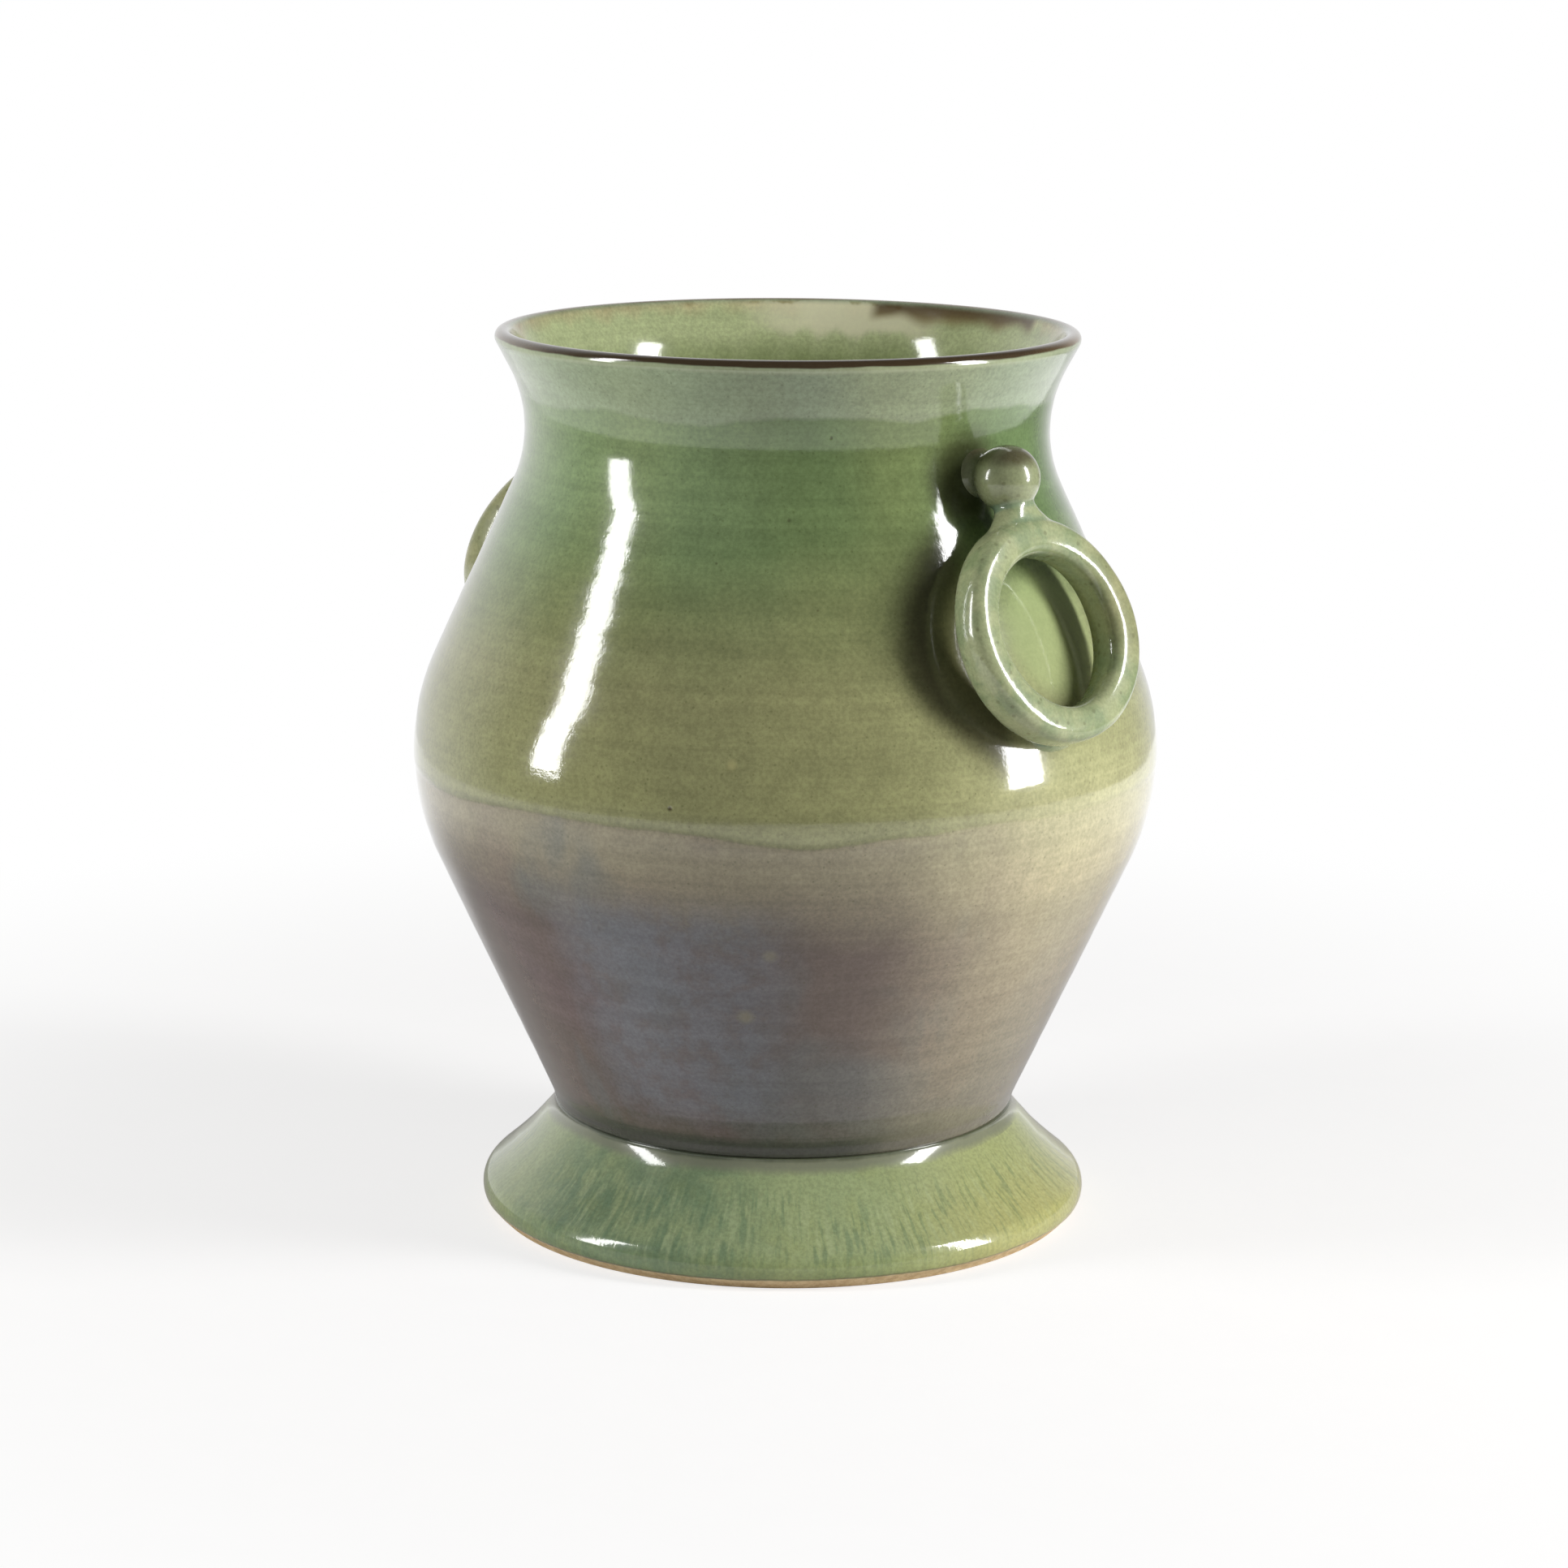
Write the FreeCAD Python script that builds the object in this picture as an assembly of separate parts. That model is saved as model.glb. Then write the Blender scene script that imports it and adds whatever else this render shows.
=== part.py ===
import FreeCAD, Part
import math
import os

# Stoneware vase with two fixed ring handles, in millimetres.
# The origin is the centre of the resting face of the foot, +Z is up,
# and the handles stand on +X (right) and -X (left).

# Body, thrown: heights are rises from one named place to the next
joint_height = 29.8         # resting face to the joint of foot and body
belly_rise = 101.9          # joint to the widest place
waist_rise = 91.1           # widest place to the narrowest place of the neck
lip_rise = 27.2             # narrowest place to the top of the lip
joint_radius = 65.3
belly_radius = 104.5
waist_radius = 72.9
mouth_radius = 80.9         # outside of the lip
belly_curve_radius = 66.3   # upright curve of the belly
waist_curve_radius = 36.3   # upright curve of the neck
upper_wall = 5.0
lower_wall = 7.0            # above the floor
floor_thickness = 8.0
floor_corner_radius = 12.0
base_edge_radius = 2.4      # turned edge under the body

# Foot, thrown by itself and hollow underneath
foot_radius = 86.0
foot_roll_radius = 6.2      # rolled outer edge
foot_roll_height = 5.9      # centre of the roll above the resting face
foot_flare_radius = 120.0   # hollow curve of the flare
foot_top_wall = 9.0
foot_rest_width = 6.2
foot_inner_edge_radius = 2.0

# Slip that lutes foot and body
slip_thickness = 1.0
slip_bead_stand = 0.5       # how far the bead stands out past the top of the foot

# Ring handles: each ring is stuck to the belly at its lowest part and leans back along the shoulder
ring_radius = 25.5          # centre line
ring_depth = 10.6           # section, in the plane of the ring
ring_width = 12.0           # section, across the plane of the ring
ring_corner_radius = 3.6
ring_head_rise = 71.0       # widest place of the belly up to the head of the ring
ring_head_stand = 3.4       # gap between the ring's back and the wall at its head
ring_seat_drop = 4.7        # how far the ring's lowest part reaches below its nearest place to the belly
ring_pad_thickness = 0.5    # least slip between ring and belly

# Ball knobs above the rings
knob_radius = 9.0
knob_pad_thickness = 0.4    # least slip between knob and neck

# Links of clay that spread from the knobs over the tops of the rings
link_length = 1.1           # rise from the ring's top to the knob's lowest point
link_reach = 5.6            # half the length of the section at the knob, along the ring
link_width = 4.8            # half the width there, across the ring
link_foot_reach = 16.5      # the same two at the ring's centre line
link_foot_width = 5.2

# Luting pads
knob_pad_radius = 7.2
knob_pad_waist_radius = 6.0
ring_pad_reach = 10.0       # half the length of the pad along the ring
ring_pad_rise = 6.8         # half the height of the pad up the belly
pad_taper = 1.4             # how much the pad draws in towards the ring
pad_sink = 3.0              # how far a pad's outline starts inside the wall

full_turn = 360.0
sides = (("right", 0.0), ("left", full_turn / 2))

origin = FreeCAD.Vector(0, 0, 0)
upwards = FreeCAD.Vector(0, 0, 1)
outwards = FreeCAD.Vector(1, 0, 0)
sideways = FreeCAD.Vector(0, 1, 0)

belly_height = joint_height + belly_rise
waist_height = belly_height + waist_rise
total_height = waist_height + lip_rise
lip_round = upper_wall / 2
underside_height = joint_height + slip_thickness / 2
foot_top_height = joint_height - slip_thickness / 2
floor_height = underside_height + floor_thickness


def place(radius, height):
    return FreeCAD.Vector(radius, 0, height)


def direction(angle):
    return place(math.cos(angle), math.sin(angle))


def tangent(circle, following):
    """End points of the line that leaves one circle and meets the next.

    A circle is a centre and a radius. The radius is positive where the path turns left
    round its centre, negative where it turns right, and 0 for a plain point."""
    (centre, radius), (next_centre, next_radius) = circle, following
    gap = next_centre - centre
    heading = math.atan2(gap.z, gap.x) - math.asin((next_radius - radius) / gap.Length)
    left = direction(heading + math.pi / 2)
    return centre - left * radius, next_centre - left * next_radius


def arc_about(centre, start, end, radius):
    """The arc of under a half turn from start to end."""
    middle = (start + end) / 2 - centre
    return Part.Arc(start, centre + middle * (abs(radius) / middle.Length), end).toShape()


def line(start, end):
    return Part.LineSegment(start, end).toShape()


def smooth_path(circles, closed=False):
    """Straight lines between circles, joined by tangent arcs round them."""
    followers = circles[1:] + circles[:1] if closed else circles[1:]
    lines = [tangent(circle, following) for circle, following in zip(circles, followers)]
    edges = [line(start, end) for start, end in lines]
    joints = list(zip(lines, lines[1:], circles[1:]))
    if closed:
        joints.append((lines[-1], lines[0], circles[0]))
    for arriving, leaving, (centre, radius) in joints:
        edges.append(arc_about(centre, arriving[1], leaving[0], radius))
    return edges, lines


def turned(edges):
    """The solid that a closed outline sweeps round the upright axis."""
    wire = Part.Wire(Part.__sortEdges__(edges))
    return Part.Face(wire).revolve(origin, upwards, full_turn)


def outer_circles():
    """The circles that the outside of the body follows, from its underside to its lip."""
    return [
        (place(0, underside_height), 0),
        (place(joint_radius - base_edge_radius, underside_height + base_edge_radius), base_edge_radius),
        (place(belly_radius - belly_curve_radius, belly_height), belly_curve_radius),
        (place(waist_radius + waist_curve_radius, waist_height), -waist_curve_radius),
        (place(mouth_radius - lip_round, total_height - lip_round), lip_round),
    ]


def floor_corner():
    """Centre of the round where the inside wall meets the floor, a lower wall from the outside."""
    start, end = tangent(*outer_circles()[1:3])
    along = (end - start).normalize()
    inwards = FreeCAD.Vector(-along.z, 0, along.x)
    across = inwards * (lower_wall + floor_corner_radius)
    height = floor_height + floor_corner_radius
    run = (height - start.z - across.z) / along.z
    return start + along * run + across


def wall_radius(height):
    """Outside radius of the body at a height."""
    circles = outer_circles()
    _, lines = smooth_path(circles)
    for start, end in lines[1:]:
        if start.z <= height <= end.z:
            return start.x + (end.x - start.x) * (height - start.z) / (end.z - start.z)
    for arriving, leaving, (centre, radius) in zip(lines, lines[1:], circles[1:]):
        if arriving[1].z <= height <= leaving[0].z:
            return centre.x + math.copysign(math.sqrt(radius ** 2 - (height - centre.z) ** 2), radius)
    raise ValueError("no wall of the body at that height")


def vase_body():
    """Thrown pot: cone, belly, shoulder, waisted neck and flared lip over a flat floor."""
    outside, outside_lines = smooth_path(outer_circles())
    belly, waist, lip = outer_circles()[2:]
    inside, inside_lines = smooth_path([
        (place(0, floor_height), 0),
        (floor_corner(), floor_corner_radius),
        (belly[0], belly[1] - upper_wall),
        (waist[0], waist[1] - upper_wall),
        (lip[0], -lip_round),
    ])
    outer_end, inner_end = outside_lines[-1][1], inside_lines[-1][1]
    crest = lip[0] + (outer_end - inner_end).cross(sideways).normalize() * lip_round
    lip_arc = Part.Arc(outer_end, crest, inner_end).toShape()
    axis = line(place(0, underside_height), place(0, floor_height))
    return turned(outside + inside + [lip_arc, axis])


def foot_ring():
    """Flared pedestal with a rolled edge, open underneath, resting on a flat ring."""
    top = place(joint_radius, foot_top_height)
    roll = place(foot_radius - foot_roll_radius, foot_roll_height)
    flare = flare_centre(top, roll)
    flare_end = roll + (flare - roll).normalize() * foot_roll_radius
    rest_edge = place(roll.x + math.sqrt(foot_roll_radius ** 2 - foot_roll_height ** 2), 0)
    inner_top = place(joint_radius - foot_top_wall, foot_top_height)
    inner_corner = place(rest_edge.x - foot_rest_width, foot_inner_edge_radius)
    inside, _ = smooth_path([(rest_edge, 0), (inner_corner, -foot_inner_edge_radius), (inner_top, 0)])
    roll_middle = place(foot_radius, foot_roll_height)
    return turned(inside + [
        line(inner_top, top),
        arc_about(flare, top, flare_end, foot_flare_radius),
        arc_about(roll, flare_end, roll_middle, foot_roll_radius),
        arc_about(roll, roll_middle, rest_edge, foot_roll_radius),
    ])


def flare_centre(top, roll):
    """Centre of the hollow curve that starts at the joint and runs smoothly into the roll."""
    near, far = foot_flare_radius, foot_flare_radius + foot_roll_radius
    gap = roll - top
    along = (gap.Length ** 2 + near ** 2 - far ** 2) / (2 * gap.Length)
    outward = FreeCAD.Vector(-gap.z, 0, gap.x).normalize()
    return top + gap.normalize() * along + outward * math.sqrt(near ** 2 - along ** 2)


def foot_slip_joint(body):
    """Layer of slip on top of the foot, with a bead that fills the groove under the body's edge."""
    inner = joint_radius - foot_top_wall
    foot_edge = place(joint_radius, foot_top_height)
    body_edge = tangent(*outer_circles()[1:3])[0]
    bead = (foot_edge + body_edge) / 2 + outwards * slip_bead_stand
    layer = turned([
        line(place(inner, foot_top_height), foot_edge),
        Part.Arc(foot_edge, bead, body_edge).toShape(),
        line(body_edge, place(inner, body_edge.z)),
        line(place(inner, body_edge.z), place(inner, foot_top_height)),
    ])
    return layer.cut(body)


def handle_frame():
    """Back of the ring's lowest part, its outward normal and its upward direction, on the +X side."""
    belly, belly_curve = outer_circles()[2]
    head_height = belly_height + ring_head_rise
    head = place(wall_radius(head_height) + ring_head_stand, head_height)
    nearest, _ = tangent((belly, belly_curve + ring_pad_thickness), (head, 0))
    up = (head - nearest).normalize()
    return nearest - up * ring_seat_drop, sideways.cross(up), up


def ring_top():
    """The highest point of the ring's centre line."""
    seat, normal, up = handle_frame()
    return seat + normal * (ring_width / 2) + up * (ring_radius * 2)


def knob_centre():
    height = ring_top().z + ring_depth / 2 + link_length + knob_radius
    return place(wall_radius(height) + knob_pad_thickness + knob_radius, height)


def ring():
    """Clay ring of soft-cornered section, leaning back along the shoulder."""
    _, normal, up = handle_frame()
    half_width = ring_width / 2 - ring_corner_radius
    half_depth = ring_depth / 2 - ring_corner_radius
    low, high = ring_radius - half_depth, ring_radius + half_depth
    corners = [(half_width, low), (half_width, high), (-half_width, high), (-half_width, low)]
    section, _ = smooth_path([(place(*corner), ring_corner_radius) for corner in corners], closed=True)
    wire = Part.Wire(Part.__sortEdges__(section))
    shape = Part.Face(wire).revolve(origin, outwards, full_turn)
    shape.rotate(origin, sideways, -math.degrees(math.atan2(normal.z, normal.x)))
    shape.translate(ring_top() - up * ring_radius)
    return shape


def knob():
    return Part.makeSphere(knob_radius, knob_centre(), upwards)


def slot(centre, axis, reach, width):
    """Round-ended outline square to an axis in the XZ plane, longest along Y."""
    along, across = sideways * (reach - width), sideways.cross(axis) * width
    end = sideways * reach
    return Part.Wire([
        line(centre - along + across, centre + along + across),
        Part.Arc(centre + along + across, centre + end, centre + along - across).toShape(),
        line(centre + along - across, centre - along - across),
        Part.Arc(centre - along - across, centre - end, centre - along + across).toShape(),
    ])


def ring_link():
    """Neck of clay that leaves the knob narrow and spreads like a tear over the top of the ring."""
    start, end = knob_centre(), ring_top()
    axis = (end - start).normalize()
    return Part.makeLoft([
        slot(start, axis, link_reach, link_width),
        slot(start + axis * knob_radius, axis, link_reach, link_width),
        slot(end, axis, link_foot_reach, link_foot_width),
    ], True, False)


def knob_pad():
    """Collar of slip round the place where the knob meets the neck."""
    centre = knob_centre()
    start = centre - outwards * (knob_radius + knob_pad_thickness + pad_sink)
    length = (centre - start).Length - knob_radius / 2
    return Part.makeCone(knob_pad_radius, knob_pad_waist_radius, length, start, outwards)


def ring_pad():
    """Pad of slip under the lowest part of the ring, where it meets the belly."""
    seat, normal, _ = handle_frame()
    start = seat - normal * pad_sink
    end = seat + normal * (ring_width / 4)
    wide = slot(start, normal, ring_pad_reach + pad_taper, ring_pad_rise + pad_taper)
    narrow = slot(end, normal, ring_pad_reach, ring_pad_rise - pad_taper)
    return Part.makeLoft([wide, narrow], True, True)


def write(name, shape):
    shape.exportStep(os.path.join("parts", name + ".step"))
    print(name, "solids", len(shape.Solids), "valid", shape.isValid(), "volume", round(shape.Volume, 1))


def main():
    os.makedirs("parts", exist_ok=True)
    body = vase_body()
    foot = foot_ring()
    write("vase_body", body)
    write("foot_ring", foot)
    write("foot_slip_joint", foot_slip_joint(body))
    whole_ring, whole_knob = ring(), knob()
    pieces = {
        "knob": whole_knob.cut(body),
        "ring": whole_ring.cut(body),
        "ring_link": ring_link().cut(whole_knob).cut(whole_ring),
        "knob_pad": knob_pad().cut(body).cut(whole_knob),
        "ring_pad": ring_pad().cut(body).cut(whole_ring),
    }
    for side, angle in sides:
        for name, shape in pieces.items():
            copy = shape.copy()
            copy.rotate(origin, upwards, angle)
            write(side + "_" + name, copy)


main()
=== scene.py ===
import functools
import math

import bmesh
import bpy
import numpy as np
from bpy.props import FloatProperty, FloatVectorProperty, IntProperty, PointerProperty
from mathutils import Euler, Matrix, Vector, noise


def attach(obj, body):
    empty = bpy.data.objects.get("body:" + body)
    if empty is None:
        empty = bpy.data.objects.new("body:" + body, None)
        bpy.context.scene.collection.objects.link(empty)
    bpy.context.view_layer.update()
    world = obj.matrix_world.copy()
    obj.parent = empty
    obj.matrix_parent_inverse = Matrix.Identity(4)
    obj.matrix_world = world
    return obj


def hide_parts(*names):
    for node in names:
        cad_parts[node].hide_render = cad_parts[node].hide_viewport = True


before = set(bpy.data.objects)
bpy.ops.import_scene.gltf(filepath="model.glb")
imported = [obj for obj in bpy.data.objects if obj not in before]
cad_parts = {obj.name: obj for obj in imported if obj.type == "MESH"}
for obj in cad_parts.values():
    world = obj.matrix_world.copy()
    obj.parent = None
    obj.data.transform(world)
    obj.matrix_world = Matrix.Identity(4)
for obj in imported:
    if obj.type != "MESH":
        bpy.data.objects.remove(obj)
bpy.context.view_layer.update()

bl_info = {
    "name": "Stoneware Vase With Ring Handles",
    "version": (1, 0, 0),
    "blender": (4, 5, 0),
    "location": "3D View > Sidebar > Vase",
    "description": "Glazed stoneware vase with luted ring handles, and its photo stage",
    "category": "Object",
}

MM = 0.001
FULL_TURN = 2 * math.pi
SIDEWAYS = Vector((0, 1, 0))
UPWARDS = Vector((0, 0, 1))

# Azimuths in degrees, from +X towards +Y
FRONT = -44.4
SAG = -43

# Pale lumps (above 0) and dark pinholes (below 0) left by the firing: azimuth in degrees,
# height and size in millimetres, strength
FIRING_MARKS = (
    (-52.2, 148.2, 2.0, 0.65), (-61.0, 136.2, 1.0, -0.85), (-26.8, 118.7, 0.8, -0.7),
    (-35.5, 229.1, 0.7, -0.6), (-51.2, 76.1, 3.4, 0.22), (-46.7, 95.2, 3.0, 0.18),
    (-44.0, 208.0, 0.8, -0.5), (-57.5, 197.0, 0.6, -0.6), (-39.0, 186.0, 0.6, -0.5),
)

# Numbers of steps along curves and round sections
COVE_STEPS = 16
RING_STEPS = 120
LINK_STEPS = 16
PAD_STEPS = 8
SECTION_STEPS = 40
BALL_STEPS = (64, 40)

# How full the corners of the clay's sections are; 2 is an ellipse
RING_POWER, LINK_POWER, PAD_POWER = 3.0, 2.3, 2.2

# The ring is a little thinner in some places round it
PINCHES, PINCH_DEPTH, PINCH_TURN = 3, 0.035, 0.8

# Share of the ball's radius at which the link starts to widen, and how late it does
LINK_START, LINK_LATENESS = 0.8, 1.5

# Waves of the pinched clay, each with its scale and its share, and their highest value
CLAY_WAVES = ((70, 1.0), (190, 0.4))
CLAY_WAVE_TOP = 0.75

# Factor and rounds of the smoothing that turns the fused joints into fillets
SOFTENING = (0.5, 14)

# Shares of the body's throwing rings and unevenness that foot and slip show
FOOT_THROWING, FOOT_UNEVENNESS, SLIP_UNEVENNESS = 0.7, 0.6, 0.4

# Half the width of the step where a coat ends, how narrow the second coat's sag is, and how
# far the edge of the glaze on the foot wanders, as a share of the bare clay's height
DIP_EDGE = 0.7 * MM
SAG_NARROWNESS = 30.0
BARE_WAVE_SHARE = 0.2

# Points of a turned wall that lie closer than this become one
WELD = 0.005 * MM

# Noise keeps to the middle of its range from 0 to 1; this stretches it to the whole
NOISE_STRETCH = 2.6

# Glass of the glazes, and the clay's own gloss under it
GLASS_IOR, GLASS_ROUGHNESS, HANDLE_ROUGHNESS, CLAY_GLOSS = 1.5, 0.035, 0.08, 0.25

# Shares of the stated sizes of the luting pads, at the wall and at the clay that they hold
COLLAR_SHARES = (1.12, 0.8)
PAD_RISE_SHARES = (0.9, 0.6)
PAD_REACH_SHARES = (1.0, 0.8)

# Seeds of what wanders by hand
BODY_SEED, FOOT_SEED, SLIP_SEED = 4.0, 9.0, 2.0

# Turn about the axis and seed of each handle, and what one handle is made of
HANDLES = {"right": (0.0, 3.0), "left": (math.pi, 8.0)}
HANDLE_PARTS = ("ring", "knob", "ring_link", "knob_pad", "ring_pad")

# Softboxes: degrees round from the camera, distance, width, lowest and highest edge in metres
SOFTBOXES = {"left": (-74, 1.1, 0.20, 0.16, 1.06), "right": (74, 1.15, 0.25, 0.09, 0.98)}

# Floor: radius, how much less lit the camera sees it, its own glow, and the distances from the
# axis between which it runs out into white
FLOOR_RADIUS = 0.8
FLOOR_DIMMING = 0.55
FLOOR_LIFT = 0.70
FLOOR_WHITENS = (0.20, 0.50)

# Colour of the light from all round
AMBIENT_TINT = (1.0, 0.99, 0.97)

# Where the backdrop's glow begins and is full, by how straight a ray meets it, and both strengths
BACKDROP_GLOW = (0.3, 0.92, 0.06, 0.8)


# Colours, written as screen values from 0 to 255

def screen(red, green, blue):
    """Linear colour of a screen colour."""
    shares = [value / 255 for value in (red, green, blue)]
    return tuple(s / 12.92 if s <= 0.04045 else ((s + 0.055) / 1.055) ** 2.4 for s in shares)


# Where the glazes break, pool and blush, and painted light and shade; the main glazes are in
# VaseGlazeSettings
TINTS = {name: screen(*value) for name, value in {
    "blue_bloom": (104, 112, 112), "rosy_bloom": (122, 100, 104), "violet_bloom": (112, 116, 124),
    "rolled_edge": (92, 96, 58), "warm_green": (152, 152, 92), "airy_green": (178, 200, 150),
    "sunny_base": (134, 127, 110), "sunny_low": (180, 168, 140), "sunny_belly": (216, 206, 166),
    "sunny_dip": (202, 200, 152), "sunny_shoulder": (152, 164, 112), "dark_speck": (70, 76, 40),
    "ring_shelter": (186, 202, 142), "deep_shade": (52, 46, 24), "pinhole": (62, 46, 30),
    "pale_lump": (188, 182, 128), "inside_deep": (84, 104, 58), "inside_low": (112, 138, 78),
    "inside_neck": (150, 166, 106), "inside_warm": (198, 192, 146), "inside_brown": (176, 158, 108),
    "cream": (246, 242, 206), "scorch_edge": (142, 124, 78), "scorch": (88, 66, 42),
    "pale_rim": (190, 194, 158), "thin_lip": (132, 104, 66),
    "foot_edge": (116, 130, 78), "foot_roll": (152, 165, 109), "foot_blue": (102, 130, 104),
    "foot_yellow": (196, 190, 122), "foot_pale": (160, 168, 108), "pale_dash": (186, 198, 152),
    "dark_dash": (84, 116, 92), "burnt_line": (96, 78, 44), "dark_clay": (204, 178, 136),
    "handle_deep": (146, 160, 118), "handle_tan": (156, 142, 100), "handle_thin": (186, 180, 140),
    "handle_ball": (152, 158, 120), "handle_speck": (92, 88, 50),
}.items()}


def opaque(colour_value):
    return (*colour_value, 1.0)


def paint(tint):
    """Opaque colour of a tint's name or of a colour; another node's socket stays as it is."""
    if isinstance(tint, bpy.types.NodeSocket):
        return tint
    return opaque(TINTS[tint] if isinstance(tint, str) else tint)


def level_way(azimuth):
    """Level direction at an azimuth in degrees."""
    return math.cos(math.radians(azimuth)), math.sin(math.radians(azimuth)), 0.0


# Sizes and colours that a user would change

def length(name, description, millimetres):
    return FloatProperty(name=name, description=description, default=millimetres * MM, min=0.0,
                         unit="LENGTH", subtype="DISTANCE", precision=5)


def angle(name, description, degrees):
    return FloatProperty(name=name, description=description, default=math.radians(degrees),
                         unit="ROTATION", subtype="ANGLE")


def amount(name, description, default):
    return FloatProperty(name=name, description=description, default=default, min=0.0)


def count(name, description, default):
    return IntProperty(name=name, description=description, default=default, min=3)


def colour(name, description, *value):
    return FloatVectorProperty(name=name, description=description, default=screen(*value), size=3,
                               min=0.0, max=1.0, subtype="COLOR")


class VaseBodySettings(bpy.types.PropertyGroup):
    """Sizes of the thrown body; heights are rises from one named place to the next."""
    joint_height: length("Joint Height", "Resting face to the joint of foot and body", 29.8)
    belly_rise: length("Belly Rise", "Joint to the widest place", 101.9)
    waist_rise: length("Waist Rise", "Widest place to the narrowest place of the neck", 91.1)
    lip_rise: length("Lip Rise", "Narrowest place to the top of the lip", 27.2)
    joint_radius: length("Joint Radius", "Radius of body and foot at their joint", 65.3)
    belly_radius: length("Belly Radius", "Radius at the widest place", 104.5)
    waist_radius: length("Waist Radius", "Radius at the narrowest place of the neck", 72.9)
    mouth_radius: length("Mouth Radius", "Outside radius of the lip", 80.9)
    belly_curve: length("Belly Curve", "Radius of the upright curve of the belly", 66.3)
    waist_curve: length("Waist Curve", "Radius of the upright curve of the neck", 36.3)
    upper_wall: length("Upper Wall", "Wall from the belly to the lip", 5.0)
    lower_wall: length("Lower Wall", "Wall above the floor", 7.0)
    floor_thickness: length("Floor Thickness", "Floor of the body", 8.0)
    floor_corner: length("Floor Corner", "Round where wall and floor meet inside", 12.0)
    base_edge: length("Base Edge", "Turned edge under the body", 2.4)
    slip_thickness: length("Slip Thickness", "Slip between foot and body", 1.0)
    columns: count("Columns", "Faces round the body", 240)
    throwing_depth: length("Throwing Depth", "Depth of the throwing rings", 0.17)
    throwing_pitch: length("Throwing Pitch", "Rise from one throwing ring to the next", 4.0)
    unevenness: length("Unevenness", "How far the wall wanders from true", 0.35)
    dip_height: length("Dip Height", "Height of the edge of the second glaze coat", 129.6)
    dip_wave: length("Dip Wave", "How far that edge wanders up and down", 1.3)
    dip_sag: length("Dip Sag", "How far it has run down in front", 3.2)
    glaze_step: length("Glaze Step", "How much thicker the upper coat is", 0.28)


class VaseFootSettings(bpy.types.PropertyGroup):
    """Sizes of the thrown foot and of the slip that joins it to the body."""
    radius: length("Foot Radius", "Outside radius of the foot", 86.0)
    roll_radius: length("Roll Radius", "Radius of the rolled edge", 6.2)
    roll_height: length("Roll Height", "Centre of the rolled edge above the resting face", 5.9)
    flare_radius: length("Flare Radius", "Hollow curve of the flare", 120.0)
    top_wall: length("Top Wall", "Wall of the foot at the joint", 9.0)
    rest_width: length("Rest Width", "Width of the ring that rests on the table", 6.2)
    inner_edge: length("Inner Edge", "Round of the inner edge", 2.0)
    cove_reach: length("Cove Reach", "How far down the flare the slip in the joint is wiped", 6.5)
    cove_stand: length("Cove Stand", "How far it stands out of the wall of the body", 0.15)
    cove_drop: length("Cove Drop", "How far its top lies under the start of the wall", 0.6)
    cove_depth: length("Cove Depth", "How deep it goes into the joint", 1.8)
    bare_height: length("Bare Height", "Height of the bare clay under the glaze", 3.0)
    bare_step: length("Bare Step", "How far the glaze stands proud of the bare clay", 0.35)
    columns: count("Columns", "Faces round the foot", 220)


class VaseHandleSettings(bpy.types.PropertyGroup):
    """Sizes of one ring handle with its ball, its link and its luting pads."""
    ring_radius: length("Ring Radius", "Centre line of the ring", 25.5)
    ring_depth: length("Ring Depth", "Section of the ring, in its plane", 10.6)
    ring_width: length("Ring Width", "Section of the ring, across its plane", 12.0)
    head_rise: length("Head Rise", "Widest place of the belly up to the head of the ring", 71.0)
    head_stand: length("Head Stand", "Gap between the ring's back and the wall at its head", 3.4)
    seat_drop: length("Seat Drop", "Ring's lowest part below its nearest place to the belly", 4.7)
    pad_thickness: length("Ring Pad Thickness", "Least slip between ring and belly", 0.5)
    knob_radius: length("Knob Radius", "Radius of the clay ball", 9.0)
    knob_pad_thickness: length("Knob Pad Thickness", "Least slip between ball and neck", 0.4)
    link_length: length("Link Length", "Rise from the ring's top to the ball", 1.1)
    link_reach: length("Link Reach", "Half the length of the link's section at the ball", 5.6)
    link_width: length("Link Width", "Half its width there", 4.8)
    link_foot_reach: length("Link Foot Reach", "Half the section's length at the ring", 16.5)
    link_foot_width: length("Link Foot Width", "Half its width there", 5.2)
    knob_pad_radius: length("Knob Pad Radius", "Radius of the slip collar at the wall", 7.2)
    ring_pad_reach: length("Ring Pad Reach", "Half the length of the slip pad along the ring", 10.0)
    ring_pad_rise: length("Ring Pad Rise", "Half the height of the slip pad", 6.8)
    pad_sink: length("Pad Sink", "How far a pad starts inside the wall", 3.0)
    voxel: length("Voxel", "Grain at which the clay pieces are fused", 0.42)
    unevenness: length("Unevenness", "How far the pinched clay wanders from true", 0.25)


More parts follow.
